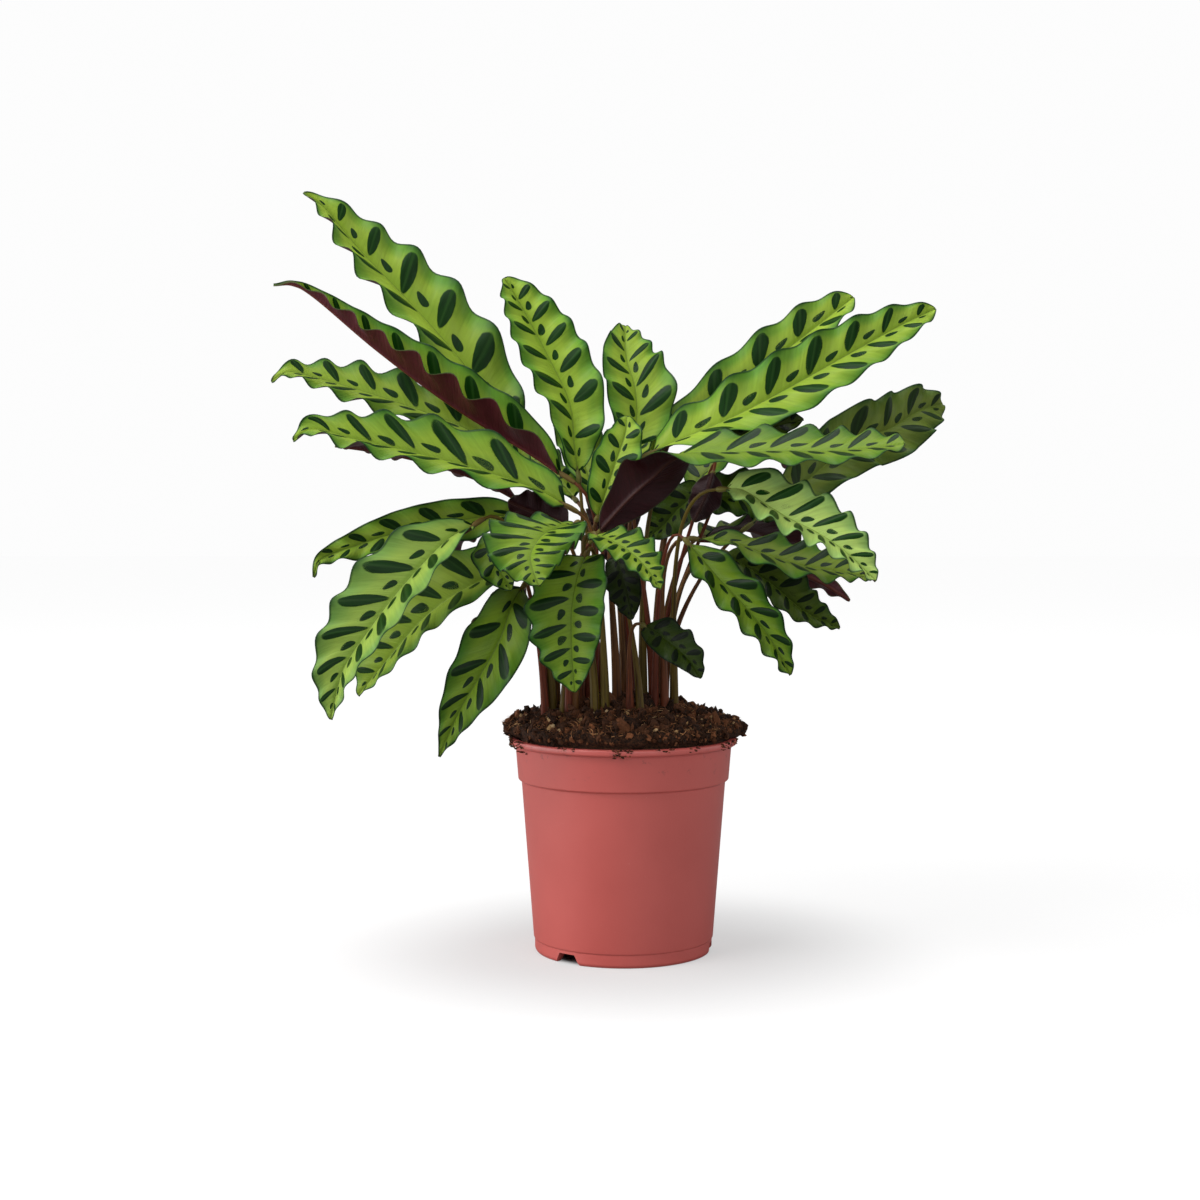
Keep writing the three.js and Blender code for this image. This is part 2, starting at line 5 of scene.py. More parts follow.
import bmesh
import bpy
import numpy as np
from mathutils import Euler, Matrix, Vector, noise


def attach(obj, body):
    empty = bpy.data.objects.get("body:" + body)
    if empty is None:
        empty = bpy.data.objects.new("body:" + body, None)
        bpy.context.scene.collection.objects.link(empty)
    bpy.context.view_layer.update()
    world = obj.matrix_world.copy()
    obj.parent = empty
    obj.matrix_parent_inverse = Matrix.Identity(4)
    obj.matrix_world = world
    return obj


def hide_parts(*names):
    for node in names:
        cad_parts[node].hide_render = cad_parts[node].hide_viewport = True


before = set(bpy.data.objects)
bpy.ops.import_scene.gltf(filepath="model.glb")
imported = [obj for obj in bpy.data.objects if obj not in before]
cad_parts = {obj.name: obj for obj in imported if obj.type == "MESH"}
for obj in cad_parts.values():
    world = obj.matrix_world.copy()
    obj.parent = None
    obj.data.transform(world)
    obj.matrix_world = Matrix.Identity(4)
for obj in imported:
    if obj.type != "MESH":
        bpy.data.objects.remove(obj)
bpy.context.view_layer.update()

MM = 0.001

# ---------- driving dimensions, as in the model's source ----------
POT = SimpleNamespace(
    height=132, lip_radius=70, lip_height=4.5,
    collar_top=66.5, collar_foot=64.8, collar_height=21, step=2,
    wall_foot=55.4, band_height=8, band_step=0.7, foot_radius=53.6,
    wall=1.4, floor_height=6, floor_thickness=1.6,
)
NOTCH = SimpleNamespace(count=3, angle=-128.4, width=19, top=11.5, height=6.2, depth=15)
SOIL = SimpleNamespace(overhang=3, inset=3.5, front=(0.05, 0.35), brim=7, mound=22, mound_radius=48)
BLADE = SimpleNamespace(
    thickness=0.55,
    pulvinus_share=0.05,
    turn=(0.1, 0.5),  # shares of its length between which it turns from face to face_end
    tip_half_width=0.5,
    crowding=0.05,
    wave_width=0.085,  # how much wider a half is on its crests
    wave_rise=1.7,
    uneven=0.22,
    arch=0.16,
    groove=0.35,
)
STALK = SimpleNamespace(
    foot_radius=2.0,
    foot_spread=3,
    sunk=4,
    shares=(0, 0.12, 0.4, 0.62, 1),  # of its length, and how thick it is there beside foot_radius
    thickness=(1.45, 1.3, 0.85, 0.62, 0.55),
    flat=0.82,
)
# The joint between stalk and blade: shares of the midrib's length, and its radius there.
JOINT = SimpleNamespace(
    shares=(0, 0.012, 0.028, 0.045, 0.062, 0.08), radii=(1.35, 1.7, 1.8, 1.6, 1.1, 0.5), drop=0.9, sides=10,
)
EYE = np.array([0.0, -1183.0, 275.0])  # where the midribs are measured from, and the camera stands

# ---------- where each shoot stands, and each leaf ----------
SHOOTS = dict(
    a=(-46, -14), b=(-45, 7), c=(-33, -24), d=(-33, 22), e=(-25, -3), f=(-17, 34), g=(-14, -32),
    h=(-7, -8), i=(2, 22), j=(7, -34), k=(15, 2), l=(22, -22), m=(28, -7), n=(22, 24),
)


class Leaf:
    """A leaf's own values, with its greatest width and, where a leaf names no others, those below. The
    midrib goes from the blade's base to its tip, by (x, y, z): y is the depth, and x and z are where the
    point shows in the plane y = 0 from EYE. A pair is for the left half and the right half, seen from
    above with the tip away."""

    waves = 6  # crests along each margin
    wave = 3.5  # their height
    fold = 12  # how far each half is raised, in degrees
    face = (0, 0, 1)  # where the upper side looks
    face_end = None  # and where it looks at the tip of a blade that turns
    slant = 0.5  # of the side veins
    base, tip = 0.6, 0.8  # how blunt the ends are
    olive_tint = 0  # from 0, yellow-green, to 1, olive and darker
    tone, under_shading = 1, 0.75  # how light each side is: painted shade on the leaves low and deep in the plant, which it also makes a deeper green
    pale = 0  # how far the green is washed out: a painted whitish sheen

    def __init__(self, shoot, *midrib, **values):
        self.shoot, self.midrib = shoot, midrib
        vars(self).update(values)


LEAVES = dict(
    left_1=Leaf("f", (-51, 36, 284), (-74, 44, 317), (-93, 50, 354), (-124, 53, 391), (-161, 53, 430),
        (-181, 51, 454), (-195, 50, 465), width=58, waves=7, wave=5.5, fold=(28, 32),
        face=(0.4, -0.76, 0.52), slant=(1, 0.5), base=0.8, tip=0.9),
    left_2=Leaf("e", (-30, -6, 288), (-58, 0, 307), (-104, 2, 335), (-150, 0, 369), (-188, -4, 401),
        (-202, -5, 409), (-214, -6, 409), width=49, waves=8, fold=68, face=(0.42, -0.62, 0.67),
        slant=(0.5, 0.9), base=0.65, tip=1.3, under_shading=1.1),
    left_3=Leaf("d", (-70, 14, 306), (-98, 12, 322), (-126, 10, 333), (-159, 8, 344), (-190, 6, 353),
        (-206, 4, 356), (-216, 3, 350), width=42, wave=4, fold=17, face=(0.15, -0.67, 0.73),
        slant=(1, 0.85), tip=0.9, tone=0.82),
    left_4=Leaf("c", (-28, -26, 270), (-53, -32, 284), (-91, -38, 297), (-134, -42, 308),
        (-165, -44, 315), (-190, -44, 321), (-203, -42, 314), width=46, wave=4.5, fold=29,
        face=(0.17, -0.71, 0.68), slant=(1, 1.3), tone=0.85),
    left_5=Leaf("b", (-60, 4, 276), (-90, 2, 291), (-125, 0, 302), (-155, -2, 308), (-177, -4, 311),
        width=30, wave=3, fold=15, face=(0, 0.3, 1), olive_tint=0.3, tone=0.6),
    left_6=Leaf("b", (-52, -6, 267), (-80, -8, 268), (-112, -10, 263), (-141, -12, 257),
        (-169, -15, 248), (-186, -17, 241), (-191, -17, 230), width=28, wave=5, fold=(20, 25),
        face=(-0.25, -0.95, 0.1), slant=(0.8, 0.8), tip=0.95, tone=0.75),
    left_7=Leaf("a", (-86, -44, 266), (-99, -54, 258), (-110, -64, 252), (-135, -78, 226),
        (-156, -88, 199), (-173, -94, 173), (-181, -97, 142), width=53, waves=7, wave=2.2, fold=(25, 43),
        face=(-0.52, -0.79, 0.31), slant=(0.5, 0.95), base=0.76, tip=0.83, tone=0.82, pale=0.15),
    left_8=Leaf("b", (-63, -22, 240), (-84, -28, 230), (-105, -34, 219), (-124, -38, 204),
        (-141, -42, 185), (-164, -44, 157), width=62, wave=2.1, fold=(21, 31), face=(-0.57, -0.63, 0.53),
        base=0.52, tip=0.78, olive_tint=0.3, tone=0.86),
    left_9=Leaf("a", (-59, -50, 228), (-68, -60, 215), (-76, -70, 192), (-88, -77, 170),
        (-101, -82, 148), (-114, -86, 119), width=39, waves=5, wave=3, fold=(20, 25),
        face=(-0.18, -0.98, 0.06), slant=1.2, base=0.69, tip=1.08, tone=0.52),
    left_10=Leaf("a", (-76, -52, 256), (-80, -62, 249), (-78, -70, 238), (-69, -76, 222), width=24,
        waves=4, wave=2, face=(-0.2, -1, 0.4), tone=0.5),
    left_11=Leaf("c", (-32, -20, 261), (-44, -20, 266), (-57, -21, 271), (-71, -23, 277), width=30,
        waves=4, wave=2, fold=10, face=(0, 1, 0.3), under_shading=0.35),
    front_1=Leaf("c", (-27, -38, 264), (-40, -58, 261), (-50, -78, 256), (-57, -96, 245),
        (-56, -106, 235), (-52, -112, 225), width=56, waves=8, wave=4, face=(-0.1, -0.6, 1), base=1.1,
        tone=0.65),
    front_2=Leaf("g", (-22, -58, 246), (-28, -74, 232), (-32, -84, 210), (-32, -88, 185),
        (-30, -90, 159), width=50, wave=1.5, fold=20, face=(-0.37, -0.9, 0.25), slant=(0.1, 0.35),
        tone=0.52),
    front_3=Leaf("g", (-19, -50, 257), (-8, -66, 253), (4, -78, 246), (14, -86, 236), (23, -90, 223),
        width=30, wave=2.5, fold=13, face=(0.37, -0.79, 0.49), tone=0.8),
    front_4=Leaf("j", (-5, -34, 246), (-2, -42, 234), (2, -46, 220), (5, -48, 204), width=22, waves=4,
        wave=1.5, face=(-0.3, -1, 0), olive_tint=0.6, tone=0.12),
    front_5=Leaf("j", (11, -60, 201), (21, -68, 196), (30, -75, 189), (40, -79, 180), (48, -81, 168),
        width=24, waves=4, wave=1.5, face=(0.2, -1, 0.5), olive_tint=0.6, tone=0.16),
    centre_1=Leaf("e", (-27, -4, 288), (-30, -2, 310), (-33, 3, 337), (-46, 9, 365), (-62, 14, 395),
        (-73, 16, 413), width=48, waves=7, fold=(31, 35), face=(0.39, -0.92, -0.02), slant=(0.6, 0.25),
        base=0.64, tip=0.66, tone=1.05),
    centre_2=Leaf("k", (5, 10, 306), (8, 14, 326), (7, 19, 346), (2, 26, 363), (1, 34, 376),
        (1, 42, 384), width=48, waves=5, wave=2.8, fold=25, face=(0.31, -0.94, 0.11), slant=(0.4, 0.8),
        base=0.48, tip=0.74),
    centre_3=Leaf("e", (-17, -14, 264), (-11, -14, 282), (-5, -12, 300), (1, -8, 318), (2, -4, 329),
        width=28, waves=4, wave=2.5, fold=14, face=(0.1, -1, 0.3), tip=0.6),
    right_1=Leaf("h", (9, -4, 302), (28, -2, 312), (66, 0, 328), (99, 2, 345), (140, 4, 368),
        (167, 6, 383), (190, 8, 394), width=44, waves=7, wave=4, fold=(16, 32),
        face=(-0.32, -0.74, 0.59), face_end=(-0.03, -0.98, 0.18), slant=(0.8, 1), base=0.45, tip=0.57),
    right_2=Leaf("c", (-21, -29, 251), (1, -37, 276), (17, -42, 291), (34, -54, 305), (64, -66, 307),
        (101, -76, 308), (132, -84, 308), (172, -90, 312), width=54, waves=8, wave=2.6, fold=(-1, 13),
        face=(-0.21, 0.95, 0.25), face_end=(0.03, -0.52, 0.85), slant=0.8, base=0.67, tip=0.45, tone=0.6,
        under_shading=0.36),
    right_3=Leaf("n", (72, 30, 258), (92, 38, 274), (113, 48, 290), (140, 62, 312), (163, 70, 321),
        (181, 80, 332), (195, 90, 336), width=44, waves=7, wave=5, fold=(14, 21),
        face=(-0.2, -0.76, 0.61), face_end=(-0.02, -1, 0.05), slant=(0.75, 0.85), base=0.94, tip=0.54,
        olive_tint=0.8),
    right_4=Leaf("i", (10, 30, 297), (28, 33, 320), (53, 36, 337), (79, 40, 355), (103, 43, 372),
        (140, 46, 401), width=37, waves=5, wave=3.3, fold=(21, 34), face=(-0.17, -0.92, 0.34),
        slant=(0.8, 1), base=0.81, tip=0.5),
    right_5=Leaf("m", (57, -60, 284), (72, -66, 284), (87, -75, 275), (102, -84, 266), (118, -93, 258),
        (136, -102, 246), (155, -107, 228), width=43, waves=7, wave=3.8, fold=(22, 35),
        face=(0.24, -0.86, 0.44), slant=(0.85, 0.6), base=0.5, tip=0.7, tone=1.15, pale=0.3),
    right_6=Leaf("l", (40, -30, 254), (66, -38, 252), (88, -46, 244), (112, -52, 237), (138, -56, 233),
        (152, -58, 229), width=48, wave=3.1, fold=(6, 15), face=(0.26, -0.47, 0.85),
        face_end=(0.29, -0.52, 0.8), slant=0.8, base=1.1, tip=0.79, tone=0.8),
    right_7=Leaf("l", (37, -50, 254), (48, -58, 242), (59, -66, 229), (75, -74, 212), (90, -80, 193),
        (103, -84, 170), width=28, waves=5, wave=4.4, fold=20, face=(0.22, -0.89, 0.4), slant=(1.2, 0.8),
        base=0.55, tip=0.7, tone=0.5),
    right_8=Leaf("m", (58, -10, 246), (74, -14, 238), (94, -18, 224), (112, -22, 209), (133, -26, 199),
        width=32, wave=2.5, fold=25, face=(0.2, -1, 0.6), olive_tint=0.6, tone=0.5),
    right_9=Leaf("n", (60, 10, 246), (90, 12, 238), (117, 14, 229), (139, 14, 216), width=18, waves=5,
        wave=2.5, fold=25, face=(0.3, 0.9, 0.3), olive_tint=0.6, tone=0.4),
    right_10=Leaf("n", (55, -18, 295), (52, -22, 284), (48, -27, 274), (43, -30, 264), width=19,
        waves=3, wave=1.5, face=(0.1, 0.9, 0.1), olive_tint=0.5, tone=0.3, under_shading=0.3),
    right_11=Leaf("n", (52, 28, 286), (43, 24, 280), (33, 21, 272), (24, 19, 262), (14, 18, 254),
        width=30, waves=4, wave=2, face=(-0.2, -1, 0.5), olive_tint=0.3, tone=0.3),
    right_12=Leaf("k", (41, 6, 308), (65, 4, 315), (89, 2, 322), (110, 0, 327), width=30, waves=4,
        wave=2, fold=14, face=(0, -0.9, 0.5), olive_tint=0.8, tone=0.4),
    back_1=Leaf("i", (6, 42, 285), (9, 62, 308), (12, 84, 316), (14, 104, 308), (15, 115, 288),
        width=42, fold=14),
    back_2=Leaf("f", (-28, 42, 276), (-44, 62, 294), (-60, 82, 303), (-74, 100, 300), (-86, 112, 290),
        width=36, fold=16),
    back_3=Leaf("n", (38, 34, 282), (56, 54, 300), (76, 76, 310), (94, 94, 306), (108, 106, 290),
        width=44, fold=16),
    back_4=Leaf("d", (-52, 36, 252), (-70, 56, 261), (-88, 76, 262), (-104, 92, 252), (-116, 103, 232),
        width=42, fold=14, face=(0, 0.2, 1), olive_tint=0.3),
    back_5=Leaf("n", (46, 38, 254), (62, 58, 260), (82, 78, 258), (100, 94, 246), (114, 104, 226),
        width=42, fold=14, face=(0, 0.2, 1), olive_tint=0.4, under_shading=0.4),
    back_6=Leaf("f", (-16, 46, 276), (-24, 58, 300), (-30, 72, 320), (-34, 88, 334), (-37, 104, 338),
        width=30, wave=3, fold=14, face=(0, -0.4, 1)),
    back_7=Leaf("i", (-6, 46, 262), (-5, 66, 272), (-5, 86, 272), (-6, 102, 258), (-6, 111, 236),
        width=38, wave=3, face=(0, 0.3, 1), olive_tint=0.5, under_shading=0.4),
    back_8=Leaf("d", (-60, 50, 226), (-69, 64, 216), (-79, 78, 197), (-88, 88, 172), (-94, 94, 146),
        width=30, waves=5, wave=3, fold=16, face=(-0.4, 0.8, 0.5)),
    back_9=Leaf("n", (41, 49, 276), (54, 49, 279), (70, 49, 279), (85, 49, 274), (99, 50, 264),
        width=36, waves=5, wave=3, fold=16, face=(0.1, -0.8, 0.6), tone=0.3),
)


# ---------- mesh helpers ----------
def mesh_object(name, verts, faces, materials, smooth=True):
    """A mesh from points in millimetres."""
    mesh = bpy.data.meshes.new(name)
    mesh.from_pydata((np.asarray(verts, float) * MM).tolist(), [], faces)
    for material in materials:
        mesh.materials.append(material)
    mesh.polygons.foreach_set("use_smooth", np.full(len(mesh.polygons), smooth))
    mesh.update()
    made = bpy.data.objects.new(name, mesh)
    bpy.context.scene.collection.objects.link(made)
    return made


def piece(name, verts, faces, materials, kinds=None, replaces=(), slot=None, smooth=True):
    """A part of the object, which rides on the root body; kinds is each face's number in materials."""
    made = mesh_object(name, verts, faces, materials, smooth)
    if kinds is not None:
        made.data.polygons.foreach_set("material_index", np.asarray(kinds, np.int32))
    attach(made, "root")
    if replaces:
        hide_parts(*replaces)
    return made


def attribute(made, name, domain, values):
    """Three named values for each point or corner, which the piece's material reads."""
    layer = made.data.attributes.new(name, "FLOAT_VECTOR", domain)
    layer.data.foreach_set("vector", np.ascontiguousarray(values, np.float32).ravel())


def grid_faces(rows, columns, first=0, closed=False, flip=False):
    """Quads between rows of points; closed joins each row's last point to its first."""
    faces = []
    for i in range(rows - 1):
        for j in range(columns if closed else columns - 1):
            k = (j + 1) % columns
            quad = (first + i * columns + j, first + i * columns + k)
            quad += (first + (i + 1) * columns + k, first + (i + 1) * columns + j)
            faces.append(quad[::-1] if flip else quad)
    return faces


def smoothstep(value, low, high):
    t = np.clip((value - low) / (high - low), 0, 1)
    return t * t * (3 - 2 * t)


# ---------- curves ----------
class Run:
    """A curve through closely spaced points, read by the share of its length."""

    def __init__(self, points, tangents):
        self.points = points
        self.tangents = tangents / np.linalg.norm(tangents, axis=1, keepdims=True)
        arc = np.concatenate([[0], np.cumsum(np.linalg.norm(np.diff(points, axis=0), axis=1))])
        self.length = arc[-1]
        self.share = arc / arc[-1]

    def _read(self, values, u):
        return np.stack([np.interp(u, self.share, values[:, k]) for k in range(3)], -1)

    def at(self, u):
        return self._read(self.points, u)

    def along(self, u):
        read = self._read(self.tangents, u)
        return read / np.linalg.norm(read, axis=-1, keepdims=True)


def midrib(leaf):
    """A Catmull-Rom curve through the leaf's midrib points, put back at their depths."""
    shown = np.array([(x, 0, z) for x, y, z in leaf.midrib], float)
    depth = np.array([y for x, y, z in leaf.midrib], float)
    p = EYE + (shown - EYE) * ((depth - EYE[1]) / -EYE[1])[:, None]
    p = np.vstack([2 * p[0] - p[1], p, 2 * p[-1] - p[-2]])
    spans = len(p) - 3
    t = np.linspace(0, spans, 60 * spans + 1)
    i = np.minimum(t.astype(int), spans - 1)
    w = (t - i)[:, None]
    a, b, c, d = p[i], p[i + 1], p[i + 2], p[i + 3]
    m, n = (c - a) / 2, (d - b) / 2
    points = (2 * w**3 - 3 * w**2 + 1) * b + (w**3 - 2 * w**2 + w) * m
    points += (3 * w**2 - 2 * w**3) * c + (w**3 - w**2) * n
    tangents = (6 * w**2 - 6 * w) * (b - c) + (3 * w**2 - 4 * w + 1) * m + (3 * w**2 - 2 * w) * n
    return Run(points, tangents)


def bezier(p0, p1, p2, p3):
    t = np.linspace(0, 1, 121)[:, None]
    points = (1 - t) ** 3 * p0 + 3 * (1 - t) ** 2 * t * p1 + 3 * (1 - t) * t**2 * p2 + t**3 * p3
    tangents = (1 - t) ** 2 * (p1 - p0) + 2 * (1 - t) * t * (p2 - p1) + t**2 * (p3 - p2)
    return Run(points, tangents)


def tube(run, shares, radii, sides, flat=1.0):
    """Rings of points round a curve, without a twist between them; flat narrows them one way."""
    along = run.along(shares)
    side = np.zeros_like(along)
    last = np.eye(3)[np.argmin(np.abs(along[0]))]  # the axis that lies most across the curve
    for i, way in enumerate(along):
        last = last - way * (last @ way)
        last /= np.linalg.norm(last)
        side[i] = last
    up = np.cross(along, side)
    angle = 2 * math.pi * np.arange(sides) / sides
    out = np.cos(angle)[None, :, None] * side[:, None, :]
    out = out + flat * np.sin(angle)[None, :, None] * up[:, None, :]
    return run.at(shares)[:, None, :] + out * np.asarray(radii)[:, None, None]


# ---------- shaders ----------
class Value:
    """What a node gives, for use in formulas."""

    def __init__(self, shader, socket):
        self.math, self.socket = shader.math, socket

    def __add__(self, other):
        return self.math("ADD", self, other)

    def __sub__(self, other):
        return self.math("SUBTRACT", self, other)

    def __rsub__(self, other):
        return self.math("SUBTRACT", other, self)

    def __mul__(self, other):
        return self.math("MULTIPLY", self, other)

    def __truediv__(self, other):
        return self.math("DIVIDE", self, other)


class Shader:
    """A material's nodes, with a short call for each kind that is used here."""

    def __init__(self, name, roughness=0.5, specular=0.5):
        self.material = bpy.data.materials.new(name)
        self.material.use_nodes = True
        self.tree = self.material.node_tree
        self.bsdf = self.tree.nodes["Principled BSDF"]
        self.bsdf.inputs["Roughness"].default_value = roughness
        self.bsdf.inputs["Specular IOR Level"].default_value = specular

    def put(self, value, socket):
        if isinstance(value, Value):
            self.tree.links.new(value.socket, socket)
        else:
            socket.default_value = value

    def node(self, kind, inputs=(), **settings):
        """inputs: what goes into each, by its name or number."""
        made = self.tree.nodes.new(kind)
        for name, value in settings.items():
            setattr(made, name, value)
        for socket, value in dict(inputs).items():
            self.put(value, made.inputs[socket])
        return made

    def value(self, output, *node, **settings):
        """One output of a new node."""
        return Value(self, self.node(*node, **settings).outputs[output])

    def math(self, operation, *values, clamp=False):
        return self.value(0, "ShaderNodeMath", enumerate(values), operation=operation, use_clamp=clamp)

    def step(self, value, low, high, start=0.0, end=1.0):
        """start below low, end above high, and smooth between them."""
        places = {"Value": value, "From Min": low, "From Max": high, "To Min": start, "To Max": end}
        return self.value("Result", "ShaderNodeMapRange", places, interpolation_type="SMOOTHSTEP")

    def mix(self, factor, a, b, blend="MIX"):
        """Colours are linked or, as on a screen, three values from 0 to 255."""
        a, b = (colour if isinstance(colour, Value) else (*srgb(*colour), 1) for colour in (a, b))
        inputs = {0: factor, 6: a, 7: b}
        return self.value(2, "ShaderNodeMix", inputs, data_type="RGBA", blend_type=blend)

    def noise(self, vector, scale, detail=2.0, rough=0.5):
        places = {"Vector": vector, "Scale": scale, "Detail": detail, "Roughness": rough}
        return self.value("Fac", "ShaderNodeTexNoise", places)

    def split(self, vector):
        made = self.node("ShaderNodeSeparateXYZ", {"Vector": vector})
        return [Value(self, part) for part in made.outputs]

    def join(self, x, y, z):
        return self.value(0, "ShaderNodeCombineXYZ", {"X": x, "Y": y, "Z": z})

    def chance(self, x, y, z):
        """Three even random values, the same wherever x, y and z are."""
        place = {"Vector": self.join(x, y, z)}
        return self.split(self.value("Color", "ShaderNodeTexWhiteNoise", place, noise_dimensions="3D"))

    def read(self, name):
        return self.value("Vector", "ShaderNodeAttribute", attribute_name=name)

    def place(self):
        return self.value("Object", "ShaderNodeTexCoord")

    def bump(self, height, strength, distance):
        places = {"Height": height, "Strength": strength, "Distance": distance}
        self.put(self.value(0, "ShaderNodeBump", places), self.bsdf.inputs["Normal"])

    def finish(self, colour, roughness=None):
        self.put(colour, self.bsdf.inputs["Base Color"])
        if roughness is not None:
            self.put(roughness, self.bsdf.inputs["Roughness"])
        return self.material


def srgb(red, green, blue):
    """Linear light from the 0 to 255 values that a screen shows."""
    shown = (red / 255, green / 255, blue / 255)
    return tuple(c / 12.92 if c <= 0.04045 else ((c + 0.055) / 1.055) ** 2.4 for c in shown)


# A blade's material reads three attributes. vein_place: the waves counted along the blade's own margin,
# the place across from -1 at the right margin to 1 at the left, and the half's width in mm. blade_facts:
# the half's width as a share of the greatest, how far the green turns olive, and the leaf's number. The
# third: the leaf's tone, the painted shading of its upper side; the painted shading of its under side; and
# its pale, a painted whitish sheen.
def leaf_places(sh):
    wave, across, half = sh.split(sh.read("vein_place"))
    share, olive_tint, number = sh.split(sh.read("blade_facts"))
    leaf = SimpleNamespace(wave=wave, across=across, share=share, olive_tint=olive_tint, number=number)
    # Painted light: the tone of each side darkens the blades that sit low and deep in the plant, where
    # shade falls, and pale paints a whitish sheen.
    leaf.tone, leaf.under_shading, leaf.pale = sh.split(sh.read("blade_shading"))
    leaf.streaks = sh.noise(sh.join(wave * 9, across * 0.8, number), 1.6, 3, 0.6)
    leaf.patches = sh.noise(sh.join(wave * 0.5, across * 1.3, number * 3), 1.7, 2)
    uneven = sh.noise(sh.join(wave * 3, across * 3, number), 1.5, 2)
    leaf.wobble = (uneven - 0.5) * 0.22
    leaf.away = sh.math("ABSOLUTE", across)
    leaf.margin = (1 - leaf.away) * half  # mm from the margin, and from the midrib
    leaf.rib = leaf.away * half
    return leaf


# Two rows of ovals. shift: where in a wave they lie. centre, length and width are (mean, spread), in
# shares of the half's width or, along the blade, of a wave. kept: the share of them that shows.
LARGE_OVALS = dict(shift=0.0, centre=(0.46, 0.06), length=(0.4, 0.07), width=(0.19, 0.04), kept=1.0)
SMALL_OVALS = dict(shift=0.5, centre=(0.22, 0.1), length=(0.12, 0.05), width=(0.175, 0.05), kept=0.9)


def ovals(sh, leaf, shift, centre, length, width, kept):
    """How far inside a row of ovals a point is, with one for each wave, and how near its middle line."""
    place = leaf.wave + (0.5 + shift)
    cell = sh.math("FLOOR", place)
    along = place - cell - 0.5
    chances = sh.chance(cell + shift * 7, sh.math("SIGN", leaf.across), leaf.number)
    ranges = zip(chances, (centre, length, width))
    middle, reach, broad = ((chance - 0.5) * spread + mean for chance, (mean, spread) in ranges)
    broad = broad * (leaf.share * 0.6 + 0.4)
    t = (leaf.away - middle) / reach
    egg = broad * (t * 0.26 + 1)  # broader towards the margin
    x = (along + t * -0.02) / egg
    distance = sh.math("SQRT", t * t + x * x)
    inside = sh.step(distance + leaf.wobble, 0.93, 1.04, 1, 0)
    shown = sh.math("LESS_THAN", sh.math("FRACT", (chances[0] + chances[2]) * 9.7), kept)
    vein = sh.step(sh.math("ABSOLUTE", x), 0.0, 0.3, 1, 0)
    return inside * shown, vein


def blade_upper():
    """Fresh green, with an alternating row of large and small dark ovals on either side of the midrib."""
    sh = Shader("blade_upper", specular=0.16)
    leaf = leaf_places(sh)
    yellow_green, deep_green = (152, 180, 60), (76, 138, 46)
    olive, dull_green = (96, 102, 40), (58, 82, 36)
    greener = sh.step(leaf.away, 0.4, 1.05, 0, 0.85) + (leaf.patches - 0.5)
    colour = sh.mix(sh.math("MULTIPLY", greener, 1, clamp=True), yellow_green, deep_green)
    # Painted sheen: pale washes a blade towards a whitish green, as where a glossy leaf catches the light.
    colour = sh.mix(leaf.pale, colour, (206, 230, 160))
    colour = sh.mix(leaf.olive_tint, colour, sh.mix(leaf.patches, olive, dull_green))
    # Between the ovals the green deepens at the outer end of each wave.
    beat = sh.math("COSINE", leaf.wave * (2 * math.pi))
    crest = sh.step(leaf.away, 0.78, 1.0) * sh.step(beat, -0.2, 1)
    colour = sh.mix(crest * 0.75, colour, (22, 74, 30))
    large, vein = ovals(sh, leaf, **LARGE_OVALS)
    small, _ = ovals(sh, leaf, **SMALL_OVALS)
    oval = sh.mix(leaf.streaks, (4, 33, 5), (26, 69, 16))
    oval = sh.mix(vein * 0.3, oval, (62, 100, 46))
    oval = sh.mix(leaf.olive_tint * 0.7, oval, (30, 38, 14))
    dark = sh.math("MAXIMUM", large, small)
    colour = sh.mix(dark, colour, oval)
    edge = sh.step(leaf.margin + leaf.wobble * 2, 0.4, 1.5, 1, 0)
    colour = sh.mix(edge * 0.85, colour, (16, 50, 24))
    rib = sh.step(leaf.rib, 0.2, 0.5, 1, 0)
    colour = sh.mix(rib * 0.6, colour, (112, 134, 52))
    # Painted shade: a low tone darkens the blades low and deep in the plant, and takes away some red and
    # much more blue, so that they are the deeper green.
    light = (leaf.streaks * 0.5 + 0.75) * leaf.tone
    red = light * sh.step(leaf.tone, 0, 1, 0.75, 1)
    blue = light * sh.step(leaf.tone, 0, 1, 0.3, 1)
    colour = sh.mix(1.0, colour, sh.join(red, light, blue), "MULTIPLY")
    sh.bump(leaf.streaks * 0.7 + dark * 0.12, 0.8, 0.0006)
    return sh.finish(colour, leaf.streaks * 0.16 + 0.32)


def blade_under():
    """Maroon, paler along the side veins, with a raised brown midrib and a thin green margin."""
    sh = Shader("blade_under", roughness=0.45, specular=0.24)
    leaf = leaf_places(sh)
    colour = sh.mix(leaf.streaks, (50, 12, 16), (112, 42, 54))
    colour = sh.mix(leaf.patches * 0.7, colour, (60, 18, 20))
    rib = sh.step(leaf.rib, 0.6, 1.3, 1, 0)
    colour = sh.mix(rib * 0.7, colour, (104, 50, 34))
    edge = sh.step(leaf.margin, 0.3, 1.0, 1, 0)
    colour = sh.mix(edge * 0.8, colour, (96, 110, 66))
    # Painted shade: under sides low and deep in the plant are darkened, and one is lightened.
    light = leaf.under_shading
    colour = sh.mix(1.0, colour, sh.join(light, light, light), "MULTIPLY")
    sh.bump(leaf.streaks, 0.7, 0.0008)
    return sh.finish(colour)


